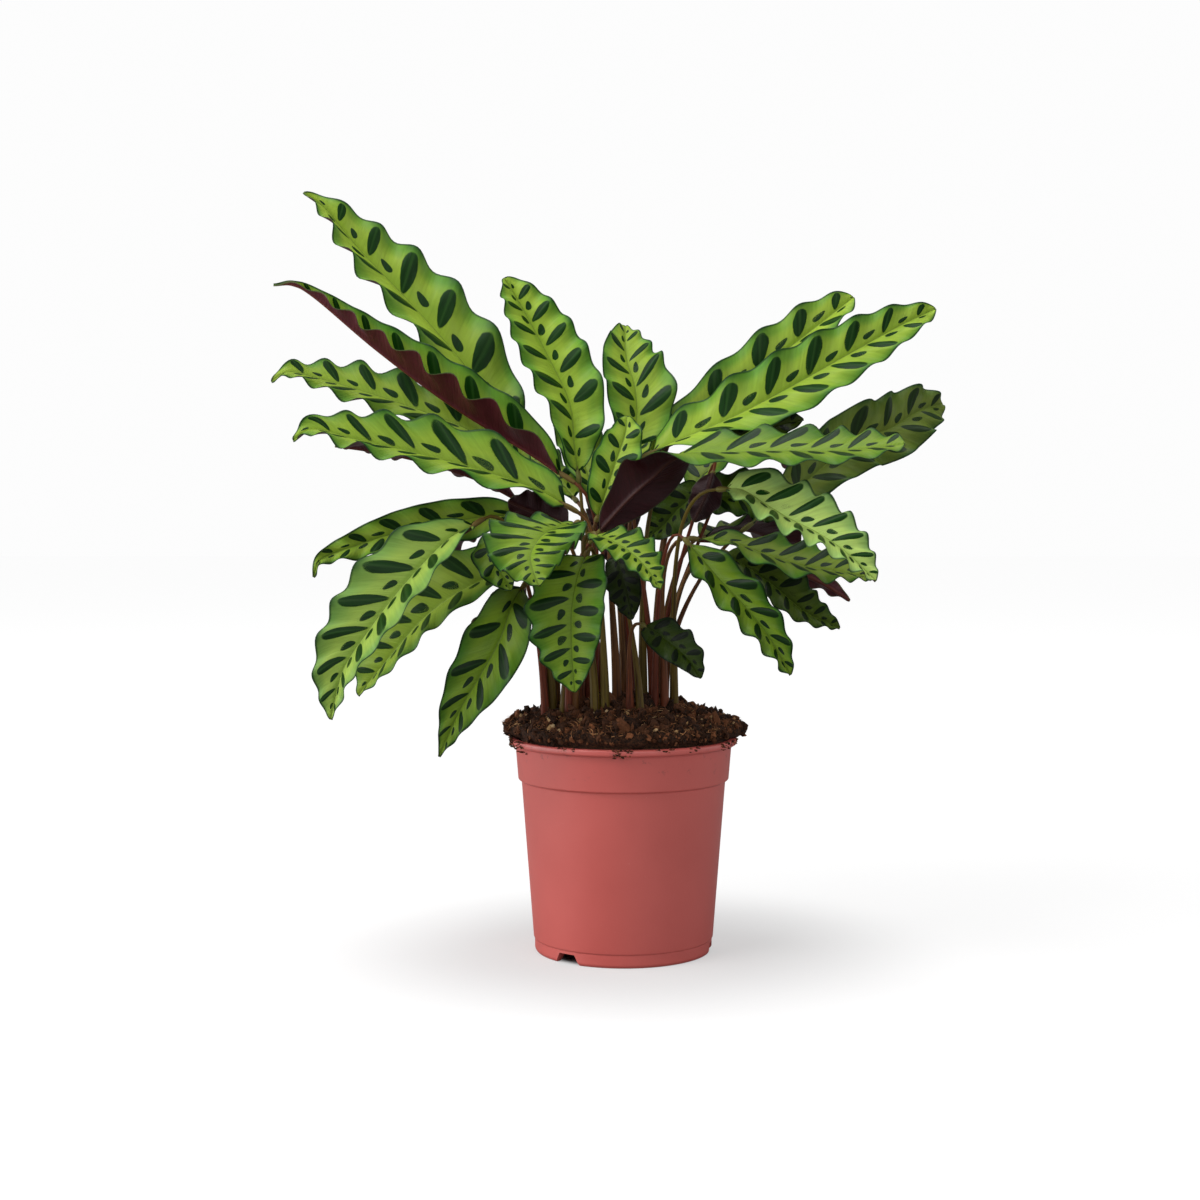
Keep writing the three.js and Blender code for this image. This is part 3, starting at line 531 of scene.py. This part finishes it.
def stalk_skin(name, lower, upper, streak, olive):
    """A stalk's skin: from the foot's colour to the top's, finely streaked, and olive on some stalks.
    stalk_place is the share of the stalk's length, the turn round it and a random value."""
    sh = Shader(name, roughness=0.45, specular=0.22)
    share, turn, number = sh.split(sh.read("stalk_place"))
    streaks = sh.noise(sh.join(share * 2.5, turn * 7, number * 40), 1.6, 3)
    blend = share - 0.5 + (number - 0.5) * 1.6
    colour = sh.mix(sh.step(blend, -0.4, 0.6), lower, upper)
    colour = sh.mix(sh.step(sh.math("FRACT", number * 7.3), 0.6, 0.75, 0, 0.8), colour, olive)
    colour = sh.mix(sh.step(streaks, 0.38, 0.72, 0, 0.8), colour, streak)
    sh.bump(streaks, 0.5, 0.0005)
    return sh.finish(colour)


def pot_plastic():
    """Terracotta-red plastic: faintly uneven, with pale scuffs and smears of soil under the lip."""
    sh = Shader("pot_plastic", specular=1.0)
    place = sh.place()
    clouds = sh.noise(place, 22, 3)
    colour = sh.mix(clouds, (196, 80, 72), (212, 94, 86))
    grain = sh.noise(place, 900, 2)
    scuffs = sh.step(sh.noise(place, 260, 4, 0.7), 0.69, 0.76)
    colour = sh.mix(scuffs * 0.35, colour, (214, 140, 128))
    under_lip = sh.step(sh.split(place)[2], 0.104, 0.134)
    smear = sh.step(sh.noise(place, 120, 5, 0.75), 0.58, 0.7) * under_lip
    colour = sh.mix(smear * 0.6, colour, (84, 44, 32))
    sh.bump(grain * 0.3 + clouds, 0.12, 0.0012)
    return sh.finish(colour, clouds * 0.12 + 0.4)


def peat_earth(name, dark, light, speck):
    """Damp peat: grain_tone is a random value for each crumb or strand, so that they tell apart."""
    sh = Shader(name, roughness=0.9, specular=0.25)
    place = sh.place()
    tone = sh.split(sh.read("grain_tone"))[0]
    fine = sh.noise(place, 700, 4, 0.7)
    pale = sh.math("POWER", tone, 2.6) * 1.1
    colour = sh.mix(sh.math("ADD", pale, (fine - 0.4) * 0.9, clamp=True), dark, light)
    colour = sh.mix(sh.step(sh.noise(place, 1500, 2), 0.72, 0.78, 0, 0.5), colour, speck)
    sh.bump(fine, 0.8, 0.0008)
    return sh.finish(colour)


# ---------- blades ----------
# Where points lie across each half of a blade: closer at the midrib and at the margin.
HALF_ACROSS = np.array([0, 0.02, 0.05, 0.1, 0.17, 0.26, 0.36, 0.47, 0.58, 0.68, 0.77, 0.85, 0.91, 0.96, 1])
PER_ROW = 6  # lines of points along the blade for each half wave


def outline(leaf, share):
    """The share of its greatest width that a blade has at a share of its length."""
    a, b = leaf.base, leaf.tip
    t = np.clip(share, 0, 1)
    peak = a / (a + b)
    return t**a * (1 - t) ** b / (peak**a * (1 - peak) ** b)


def blade_frame(leaf, run, u):
    """Points of the midrib at shares of its length, with the ways up and left there."""
    face = np.array(leaf.face, float)
    face_end = np.array(leaf.face_end or leaf.face, float)
    along = run.along(u)
    up = face + (face_end - face) * smoothstep(u, *BLADE.turn)[..., None]
    up = up - along * np.sum(up * along, -1, keepdims=True)
    up /= np.linalg.norm(up, axis=-1, keepdims=True)
    return run.at(u), up, np.cross(up, along)


def by_half(value, hand):
    """What a half of the blade has of a value that may be a pair."""
    left, right = value if isinstance(value, tuple) else (value, value)
    return np.where(hand < 0, right, left)


def blade_surface(leaf, run, row, across, number):
    """Points of the upper side, its outward normals, the half's width in mm and as a share of the
    greatest, and the midrib's share that each point belongs to. row counts the side veins: odd ones end
    on the crests of the left margin, even ones on those of the right. across runs from -1 to 1, the left
    margin."""
    step = row / (2 * leaf.waves)
    start = BLADE.pulvinus_share
    away, hand = np.abs(across), np.sign(across)
    reach = outline(leaf, step) * leaf.width / 2
    foot = start + (1 - start) * (step + BLADE.crowding * np.sin(math.pi * step))
    ahead = np.maximum(1 - foot, 1e-6)
    lean = by_half(leaf.slant, hand) * away * reach / run.length
    u = np.minimum(1 - ahead * np.exp(-lean / ahead), 1)
    centre, up, side = blade_frame(leaf, run, u)
    share = outline(leaf, (u - start) / (1 - start))
    uneven = (np.sin(1.7 * row + 2.3 * number + hand) + np.sin(0.9 * row + number * 5 - hand)) / 2
    sense = -np.cos(math.pi * row) * hand
    half = BLADE.tip_half_width + share * leaf.width * (1 + BLADE.wave_width * sense) / 2
    fold = np.radians(by_half(leaf.fold, hand)) * hand
    cos, sin = np.cos(fold)[..., None], np.sin(fold)[..., None]
    out = side * cos + up * sin
    normal = up * cos - side * sin
    swing = 1 + BLADE.uneven * uneven
    ripple = sense * leaf.wave * away ** BLADE.wave_rise * np.sqrt(share) * swing
    arch = BLADE.arch * half * away * (1 - away)
    groove = BLADE.groove * np.exp(-((away * half / 0.9) ** 2))
    point = centre + out * (across * half)[..., None] + normal * (ripple + arch - groove)[..., None]
    return point, normal, half, share, u


def shell_faces(n, m):
    """Faces of a sheet's upper side, lower side and rim, for n by m points on each side."""
    size = n * m
    rim = []
    for i in range(n - 1):
        a, b = i * m, (i + 1) * m
        rim.append((a, b, b + size, a + size))
        rim.append((b + m - 1, a + m - 1, a + m - 1 + size, b + m - 1 + size))
    for j in range(m - 1):
        last = (n - 1) * m + j
        rim.append((last, last + 1, last + 1 + size, last + size))
        rim.append((j + 1, j, j + size, j + 1 + size))
    return grid_faces(n, m), grid_faces(n, m, size, flip=True), rim


def leaf_joint(leaf, run):
    """Rings of the swollen joint, which sinks under the blade as it thins out into the midrib."""
    shares = np.array(JOINT.shares)
    rings = tube(run, shares, JOINT.radii, JOINT.sides)
    up = blade_frame(leaf, run, shares)[1]
    drop = up * (JOINT.drop * smoothstep(shares, 0.03, shares[-1]))[:, None]
    return rings - drop[:, None, :]


def blade(name, leaf, number, materials):
    run = midrib(leaf)
    rows = 2 * leaf.waves
    across = np.concatenate([HALF_ACROSS[::-1], -HALF_ACROSS[1:]])
    row, v = np.meshgrid(np.linspace(0, rows, rows * PER_ROW + 1), across, indexing="ij")
    over, normal, half, share, u = blade_surface(leaf, run, row, v, number)
    away = np.abs(v)
    thick = BLADE.thickness * (1 - 0.75 * away**6)
    thick = thick + (1.3 - 0.9 * u) * np.exp(-((away * half / 1.1) ** 2))  # the midrib
    under = over - normal * thick[..., None]
    joint = leaf_joint(leaf, run)
    size = row.size
    top, bottom, rim = shell_faces(*row.shape)
    sleeve = grid_faces(len(joint), JOINT.sides, 2 * size, closed=True)
    verts = np.concatenate([over.reshape(-1, 3), under.reshape(-1, 3), joint.reshape(-1, 3)])
    faces = top + bottom + rim + sleeve
    kinds = [0] * len(top) + [1] * len(bottom) + [0] * len(rim) + [2] * len(sleeve)
    made = piece("blade_" + name, verts, faces, materials, kinds, replaces=["leaf_" + name], slot="blade")

    # Each corner's place among the veins; a corner on the midrib takes the side of its face.
    corner = np.concatenate([np.array(f) for f in faces])
    face_side = [np.sign(sum(v.flat[k % size] for k in f)) if f[0] < 2 * size else 1 for f in faces]
    sides = np.repeat(face_side, 4)
    at = np.where(corner < 2 * size, corner % size, 0)
    wave = np.where(sides > 0, (row.flat[at] - 1) / 2, row.flat[at] / 2)
    place_v = sides * np.maximum(away.flat[at], 1e-4)
    every = np.ones(len(at))
    attribute(made, "vein_place", "CORNER", np.stack([wave, place_v, half.flat[at]], -1))
    facts = [share.flat[at], every * leaf.olive_tint, every * number]
    attribute(made, "blade_facts", "CORNER", np.stack(facts, -1))
    # Painted light for each leaf: the shading of either side and its sheen.
    tones = (leaf.tone, leaf.under_shading, leaf.pale)
    attribute(made, "blade_shading", "CORNER", np.tile(tones, (len(at), 1)))
    # The joint reads the same skin as a stalk, near its upper end.
    stalk = [every * 0.9, corner % JOINT.sides / JOINT.sides, every * number / len(LEAVES)]
    attribute(made, "stalk_place", "CORNER", np.stack(stalk, -1))


# ---------- stalks ----------
def peat_height(x, y):
    """Height of the peat at a place, without its bumps."""
    r = np.hypot(x, y)
    rise = 1 / (1 + (r / SOIL.mound_radius) ** 4)
    return POT.height + SOIL.brim + (SOIL.mound - SOIL.brim) * rise


def stalk_run(leaf, order, among):
    """From its foot in the peat, straight up at first, to the foot of its blade."""
    x, y = SHOOTS[leaf.shoot]
    spread = 2 * math.pi * order / among
    foot = np.array([
        x + STALK.foot_spread * math.cos(spread),
        y + STALK.foot_spread * math.sin(spread),
        peat_height(x, y) - STALK.sunk,
    ])
    run = midrib(leaf)
    end, direction = run.at(0.0), run.along(0.0)
    reach = np.linalg.norm(end - foot)
    return bezier(foot, foot + np.array([0, 0, reach * 0.45]), end - direction * reach * 0.22, end)


def stalks(shoot, material):
    """A shoot's stalks, each thicker where it is still a sheath, low down."""
    sides = 12
    shares = np.linspace(0, 1, 29)
    own = [name for name in LEAVES if LEAVES[name].shoot == shoot]
    verts, faces, places = [], [], []
    for order, name in enumerate(own):
        number = random.Random("stalk " + name).random()
        radii = STALK.foot_radius * np.interp(shares, STALK.shares, STALK.thickness)
        radii = radii * (0.85 + 0.25 * number)
        rings = tube(stalk_run(LEAVES[name], order, len(own)), shares, radii, sides, STALK.flat)
        own_faces = grid_faces(len(shares), sides, len(verts) * len(shares) * sides, closed=True)
        for k in range(len(own_faces)):
            i, j = divmod(k, sides)
            turns = (j, j + 1, j + 1, j)
            steps = (i, i, i + 1, i + 1)
            places += [(shares[s], t / sides, number) for s, t in zip(steps, turns)]
        verts.append(rings.reshape(-1, 3))
        faces += own_faces
    verts = np.concatenate(verts)
    made = piece("stalks_" + shoot, verts, faces, [material], replaces=["shoot_" + shoot], slot="stalk")
    attribute(made, "stalk_place", "CORNER", places)


# ---------- pot ----------
POT_SEGMENTS = 160


def rounded(corners):
    """A profile with rounded corners, given as (radius from the axis, height, reach of the rounding)."""
    points = []
    p = [np.array(c[:2], float) for c in corners]
    for i, corner in enumerate(corners):
        reach = corner[2]
        if not reach or i in (0, len(corners) - 1):
            points.append(p[i])
            continue
        before, after = p[i - 1] - p[i], p[i + 1] - p[i]
        a = p[i] + before * min(reach / np.linalg.norm(before), 0.5)
        b = p[i] + after * min(reach / np.linalg.norm(after), 0.5)
        points += [(1 - t) ** 2 * a + 2 * t * (1 - t) * p[i] + t**2 * b for t in np.linspace(0, 1, 5)]
    return points


def lathe(profile, segments):
    """Points and faces of a profile turned about the axis, closed where it meets it."""
    turn = 2 * math.pi * np.arange(segments) / segments
    radius, z = np.array(profile)[1:-1].T
    r, flat = radius[:, None], np.zeros(segments)
    rings = np.stack([r * np.cos(turn), r * np.sin(turn), z[:, None] + flat], -1)
    verts = rings.reshape(-1, 3).tolist()
    first, last = len(verts), len(verts) + 1
    verts += [(0, 0, profile[0][1]), (0, 0, profile[-1][1])]
    faces = grid_faces(len(r), segments, closed=True)
    end = first - segments
    for k in range(segments):
        after = (k + 1) % segments
        faces.append((first, after, k))
        faces.append((last, end + k, end + after))
    return verts, faces


def notch_cutter(angle, depth, top=None):
    """A wedge that narrows upwards and points in from the foot's wall; with a top, it goes on up to it."""
    low, high = NOTCH.width / 2, NOTCH.top / 2
    section = [(-low, -1), (low, -1), (high, NOTCH.height), (-high, NOTCH.height)]
    if top:
        section[3:3] = [(high, top), (-high, top)]
    count = len(section)
    turn = Matrix.Rotation(math.radians(angle), 3, "Z")
    start = POT.foot_radius + 3 - NOTCH.depth
    verts = [turn @ Vector((start + reach, y, z)) for reach in (0, depth) for y, z in section]
    faces = [tuple(range(count))[::-1], tuple(range(count, 2 * count))]
    faces += [(k, (k + 1) % count, count + (k + 1) % count, count + k) for k in range(count)]
    return mesh_object("cutter", [tuple(v) for v in verts], faces, [], smooth=False)


def pot(material):
    height, wall, lip, foot = POT.height, POT.wall, POT.lip_radius, POT.foot_radius
    top, neck = POT.collar_top, POT.collar_foot
    collar_z = height - POT.lip_height - POT.collar_height
    inner_floor = POT.floor_height + POT.floor_thickness
    profile = rounded([
        (0, POT.floor_height, 0),
        (foot - wall - 4, POT.floor_height, 1),
        (foot - wall - 2, 0, 0.4),
        (foot, 0, 0.6),
        (foot + 1.1, 1.6, 0.8),
        (POT.wall_foot - POT.band_step, POT.band_height, 0.3),
        (POT.wall_foot, POT.band_height + POT.band_step, 0.5),
        (neck - POT.step, collar_z - 1, 0.5),
        (neck, collar_z, 0.6),
        (top, height - POT.lip_height, 0.7),
        (lip, height - POT.lip_height + 0.8, 1.2),
        (lip, height - 0.8, 1.0),
        (lip - 0.8, height, 0.6),
        (top - wall + 0.6, height, 1),
        (top - wall, height - POT.lip_height, 1),
        (neck - wall, collar_z, 1),
        (neck - POT.step - wall, collar_z - 2, 1),
        (foot - wall + 0.6, inner_floor, 1),
        (0, inner_floor, 0),
    ])
    made = piece("pot_shell", *lathe(profile, POT_SEGMENTS), [material], replaces=["pot"], slot="pot")
    cutters = []
    for k in range(NOTCH.count):
        angle = NOTCH.angle + 360 * k / NOTCH.count
        cutters.append(notch_cutter(angle, NOTCH.depth))
        cutters.append(notch_cutter(angle, NOTCH.depth - 5, inner_floor + 1))  # through the floor
    for cutter in cutters:
        cut = made.modifiers.new("notch", "BOOLEAN")
        cut.object = cutter
        cut.solver = "EXACT"
    bpy.context.view_layer.update()
    seen = made.evaluated_get(bpy.context.evaluated_depsgraph_get())
    mesh = bpy.data.meshes.new_from_object(seen)
    made.modifiers.clear()
    made.data = mesh
    mesh.set_sharp_from_angle(angle=math.radians(40))
    for cutter in cutters:
        bpy.data.objects.remove(cutter)


# ---------- peat ----------
PEAT_SEGMENTS = 300


def rough(point, scale):
    """Uneven by about 1 either way, with bumps about as wide as scale."""
    return noise.fractal(Vector(point) / scale, 0.7, 2.0, 3, noise_basis="PERLIN_ORIGINAL")


def peat_edge(angle):
    """How far the peat reaches from the axis: over the lip at the sides and the back, not in front."""
    front = smoothstep(-math.sin(angle), *SOIL.front)
    return POT.lip_radius + SOIL.overhang * (1 - front) - SOIL.inset * front


def peat_point(share, angle):
    """A point of the peat's bumpy surface, at a share of the way to its uneven edge."""
    r = share * peat_edge(angle)
    x, y = r * math.cos(angle), r * math.sin(angle)
    near_edge = smoothstep(share, 0.85, 1)
    z = peat_height(x, y) + 2.4 * rough((x, y, 3), 13) + 1.2 * rough((x, y, 40), 4)
    drop = 2.5 + 2.5 * rough((math.cos(angle) * 40, math.sin(angle) * 40, 9), 11)
    return x, y, z - near_edge * drop


def peat_mound(material):
    """The body of the peat: its surface, its edge curled in over the lip, and what fills the pot."""
    shares = np.concatenate([np.arange(0.016, 0.84, 0.016), np.arange(0.84, 1.0, 0.01), [1.0]])
    turn = 2 * math.pi * np.arange(PEAT_SEGMENTS) / PEAT_SEGMENTS
    rings = []
    for share in shares:
        edge = smoothstep(share, 0.87, 1)
        ring = []
        for angle in turn:
            ragged = 0.025 * rough((math.cos(angle) * 60, math.sin(angle) * 60, 5), 7)
            ring.append(peat_point(share + edge * ragged, angle))
        rings.append(ring)
    last = np.array(rings[-1])
    lip = POT.height + 0.4
    for share, inset in ((0.45, 0.2), (0.8, 1.2), (1, 3.2)):
        ring = last.copy()
        ring[:, :2] *= 1 - inset / np.linalg.norm(last[:, :2], axis=1, keepdims=True)
        ring[:, 2] = last[:, 2] * (1 - share) + lip * share
        rings.append(ring)
    depth = POT.height - 30
    # Down inside the pot: radius and height.
    for r, z in ((64.3, lip), (64.2, POT.height - 6), (60, depth), (1, depth)):
        rings.append(np.stack([r * np.cos(turn), r * np.sin(turn), 0 * turn + z], -1))
    verts = np.concatenate([np.asarray(ring) for ring in rings])
    faces = grid_faces(len(rings), PEAT_SEGMENTS, closed=True, flip=True)
    faces.append(tuple(range(PEAT_SEGMENTS)))
    faces.append(tuple(range(len(verts) - PEAT_SEGMENTS, len(verts)))[::-1])
    made = piece("peat_mound", verts, faces, [material], replaces=["peat"], slot="soil")
    attribute(made, "grain_tone", "POINT", [(0.3, 0, 0)] * len(verts))


class Grains:
    """Many small closed shapes that become one piece, each with a tone of its own."""

    def __init__(self):
        self.verts, self.faces, self.tones = [], [], []

    def add(self, points, faces, tone):
        first = len(self.tones)
        self.faces += [tuple(first + k for k in face) for face in faces]
        self.verts.append(points)
        self.tones += [(tone, 0, 0)] * len(points)

    def finish(self, name, material, smooth=False):
        made = piece(name, np.concatenate(self.verts), self.faces, [material], slot="soil", smooth=smooth)
        attribute(made, "grain_tone", "POINT", self.tones)


def lump(seed, subdivisions):
    """Points and faces of an irregular grain of about unit radius."""
    own = random.Random(seed)
    ball = bmesh.new()
    bmesh.ops.create_icosphere(ball, subdivisions=subdivisions, radius=1)
    squash = (own.uniform(0.7, 1.3), own.uniform(0.5, 0.9), own.uniform(0.35, 0.7))
    shift = Vector((own.uniform(-9, 9), own.uniform(-9, 9), own.uniform(-9, 9)))
    points = []
    for vert in ball.verts:
        bulge = 1 + 0.9 * noise.noise(vert.co * 1.3 + shift)
        points.append([vert.co[k] * bulge * squash[k] for k in range(3)])
    faces = [tuple(v.index for v in face.verts) for face in ball.faces]
    ball.free()
    return np.array(points), faces


def scatter(own, inner, outer, crowding):
    """A seeded place on the peat; crowding above 1 draws places towards the outer share."""
    share = inner + (outer - inner) * own.random() ** (1 / crowding)
    return share, own.uniform(0, 2 * math.pi)


def crumbs(name, count, sizes, span, crowding, material, tones=(0, 1), lift=0.1):
    """Loose grains of peat over the mound; lift is how far they stand up from it, in their own sizes."""
    own = random.Random(name)
    shapes = [lump(f"{name} {k}", 1 if sizes[1] < 2 else 2) for k in range(14)]
    grains = Grains()
    for _ in range(count):
        points, faces = own.choice(shapes)
        share, angle = scatter(own, *span, crowding)
        size = sizes[0] + (sizes[1] - sizes[0]) * own.random() ** 2.2
        turn = Euler([own.uniform(0, 2 * math.pi) for _ in range(3)]).to_matrix()
        at = np.array(peat_point(share, angle))
        at[2] += size * lift - smoothstep(share, 0.92, 1.01) * own.uniform(0, 5.5)
        if math.hypot(*at[:2]) < POT.lip_radius + 0.4:
            at[2] = max(at[2], POT.height + 0.4 * size)
        grains.add(points @ np.array(turn).T * size + at, faces, own.uniform(*tones))
    grains.finish(name, material)


# Where soil is caught on the lip: the angle and half its width in degrees, how far down it runs, and how
# many grains.
SPILLS = (
    (-90, 5, 5, 44), (-69, 4, 2, 8), (-52, 4, 3, 10),
    (-118, 5, 1.5, 8), (-163, 14, 7, 90), (-20, 14, 4, 60),
)


def spill(name, heaps, material):
    """Grains of soil that lie against the pot's lip and the collar below it."""
    own = random.Random(name)
    shapes = [lump(f"{name} {k}", 1) for k in range(8)]
    grains = Grains()
    for centre, half, down, count in heaps:
        for _ in range(count):
            points, faces = own.choice(shapes)
            angle = math.radians(centre + half * own.uniform(-1, 1))
            size = own.uniform(0.35, 1.1)
            fall = down * own.random() ** 2
            radii = (POT.lip_radius, POT.lip_radius, POT.collar_top)
            radius = np.interp(fall, [0, POT.lip_height, down], radii)
            at = np.array([radius * math.cos(angle), radius * math.sin(angle), POT.height - fall])
            grains.add(points * size + at, faces, own.random())
    grains.finish(name, material)


def fibres(name, count, lengths, radius, crowding, material, span=(0, 1), curl=0.8):
    """Thin crooked strands that lie on the peat, thickest a little way in from their ends."""
    own = random.Random(name)
    steps, sides = 9, 4
    taper = np.interp(np.linspace(0, 1, steps), [0, 0.2, 0.8, 1], [0.4, 1, 0.9, 0.3])
    grains = Grains()
    for _ in range(count):
        share, angle = scatter(own, *span, crowding)
        at = np.array(peat_point(share, angle)) + (0, 0, 0.3)
        heading, pitch = own.uniform(0, 2 * math.pi), own.uniform(-0.2, 0.5)
        length = own.uniform(*lengths)
        bend, lean = own.uniform(-curl, curl), own.uniform(-curl, curl) * 0.6
        points = [at]
        for _ in range(steps - 1):
            level = math.cos(pitch)
            way = np.array([math.cos(heading) * level, math.sin(heading) * level, math.sin(pitch)])
            points.append(points[-1] + way * length / (steps - 1))
            heading += bend / 2 + own.uniform(-0.25, 0.25)
            pitch += lean / 3 - 0.06 + own.uniform(-0.15, 0.15)
        points = np.array(points) - np.array(points).mean(0) + at
        run = Run(points, np.gradient(points, axis=0))
        rings = tube(run, run.share, radius * own.uniform(0.6, 1.2) * taper, sides)
        grains.add(rings.reshape(-1, 3), grid_faces(steps, sides, closed=True), own.random())
    grains.finish(name, material, smooth=True)


# ---------- the object ----------
RED, TAN, DARK_RED, OLIVE = (118, 56, 36), (112, 78, 38), (46, 18, 12), (104, 94, 30)
GREEN_TAN, FRESH, BROWN, GREEN = (112, 96, 44), (112, 108, 46), (90, 64, 36), (96, 104, 44)

joint_skin = stalk_skin("leaf_joint", lower=GREEN_TAN, upper=FRESH, streak=BROWN, olive=GREEN)
leaf_materials = [blade_upper(), blade_under(), joint_skin]
for number, (name, leaf) in enumerate(LEAVES.items()):
    blade(name, leaf, number, leaf_materials)

stalk_material = stalk_skin("stalk_red", lower=RED, upper=TAN, streak=DARK_RED, olive=OLIVE)
for shoot in SHOOTS:
    stalks(shoot, stalk_material)

pot(pot_plastic())

earth = peat_earth("peat_earth", (16, 9, 6), (140, 88, 56), (196, 150, 108))
peat_mound(earth)
crumbs("peat_crumbs_fine", 6000, (0.45, 1.4), (0, 1), 1.6, earth)
crumbs("peat_crumbs_coarse", 1400, (1.3, 5.2), (0, 0.98), 1.7, earth, tones=(0, 0.78))
crumbs("peat_crumbs_edge", 1200, (0.6, 2.4), (0.9, 1.02), 1.0, earth)
spill("peat_spill", SPILLS, earth)
strands = peat_earth("peat_strands", (60, 32, 18), (196, 140, 94), (214, 176, 130))
fibres("peat_fibres", 3000, (3, 11), 0.24, 1.6, strands)
rootlets = peat_earth("peat_rootlets", (170, 130, 84), (226, 196, 150), (236, 216, 180))
fibres("peat_rootlets", 90, (6, 16), 0.2, 1.4, rootlets, span=(0.3, 0.97), curl=1.1)
crumbs("peat_grit", 220, (0.5, 2.6), (0.4, 1), 1.6, rootlets, lift=0.6)


# ---------- studio ----------
FLOOR_WHITE = 0.32
FLOOR_GLOW = 0.5  # close to the pot, where the lower glow is a painted shadow round its foot
FURTHER_GLOW = ((0.07, 0.22, 0.22), (0.22, 2.5, 0.18))  # added to it: from and to, in metres, and how much
UNDER_POT_SHADE = (0.046, 0.055)  # metres from the axis: no glow nearer, which paints shade under the pot, and all of it further out
SKY = 0.2  # what the white surroundings give the object; the camera sees them as white
SKY_SEEN = 0.98
LENS = 57.8
PITCH, YAW = 87.15, 0.7  # degrees: 90 would look level, and 0 along +Y


def studio_floor():
    """White card that glows for the camera, painted light, so that it runs into the white behind it; the
    glow is weaker near the pot, a painted shadow round its foot, and gone under it, painted shade.
    """
    sh = Shader("studio_floor", roughness=0.8, specular=0.1)
    seen = sh.value("Is Camera Ray", "ShaderNodeLightPath")
    sh.bsdf.inputs["Emission Color"].default_value = (1, 1, 1, 1)
    away = sh.value("Value", "ShaderNodeVectorMath", {0: sh.place()}, operation="LENGTH")
    near, far = (sh.step(away, low, high, 0, more) for low, high, more in FURTHER_GLOW)
    # Painted shadow: the glow is weaker near the pot's foot and gone under the pot.
    glow = (near + far + FLOOR_GLOW) * sh.step(away, *UNDER_POT_SHADE)
    sh.put(seen * glow, sh.bsdf.inputs["Emission Strength"])
    verts = [(-4000, -4000, 0), (4000, -4000, 0), (4000, 9000, 0), (-4000, 9000, 0)]
    white = sh.finish((FLOOR_WHITE, FLOOR_WHITE, FLOOR_WHITE, 1))
    mesh_object("studio_floor", verts, [(0, 1, 2, 3)], [white])


def area_light(name, place, aim, size, power):
    """A soft light at a place in metres, turned to a point at the height aim on the pot's axis."""
    data = bpy.data.lights.new(name, "AREA")
    data.shape = "RECTANGLE"
    data.size, data.size_y = size
    data.energy = power
    light = bpy.data.objects.new(name, data)
    light.location = place
    light.rotation_euler = (Vector((0, 0, aim)) - Vector(place)).to_track_quat("-Z", "Y").to_euler()
    bpy.context.scene.collection.objects.link(light)


def white_surroundings():
    world = bpy.data.worlds.new("studio")
    bpy.context.scene.world = world
    world.use_nodes = True
    tree = world.node_tree
    sky = tree.nodes["Background"]
    sky.inputs["Color"].default_value = (1, 1, 1, 1)
    seen = tree.nodes.new("ShaderNodeLightPath").outputs["Is Camera Ray"]
    strength = tree.nodes.new("ShaderNodeMapRange")
    strength.inputs["To Min"].default_value = SKY
    strength.inputs["To Max"].default_value = SKY_SEEN
    tree.links.new(seen, strength.inputs["Value"])
    tree.links.new(strength.outputs["Result"], sky.inputs["Strength"])
    bpy.context.scene.view_settings.view_transform = "Standard"


def place_camera():
    data = bpy.data.cameras.new("camera")
    data.sensor_width = 36
    data.lens = LENS
    camera = bpy.data.objects.new("camera", data)
    camera.location = EYE * MM
    camera.rotation_euler = (math.radians(PITCH), 0, math.radians(YAW))
    bpy.context.scene.collection.objects.link(camera)
    bpy.context.scene.camera = camera


studio_floor()
area_light("key", (-1.1, -0.9, 1.9), 0.25, (1.1, 1.1), 24)
area_light("side", (-1.7, -0.25, 0.6), 0.15, (2.2, 1.2), 25)
area_light("right", (1.8, 0.2, 0.5), 0.12, (1.4, 1.0), 4.5)
area_light("front", (0.7, -1.8, 0.9), 0.2, (1.6, 1.2), 10)
area_light("top", (0.1, 0.2, 2.0), 0.2, (1.4, 1.4), 14)
white_surroundings()
place_camera()
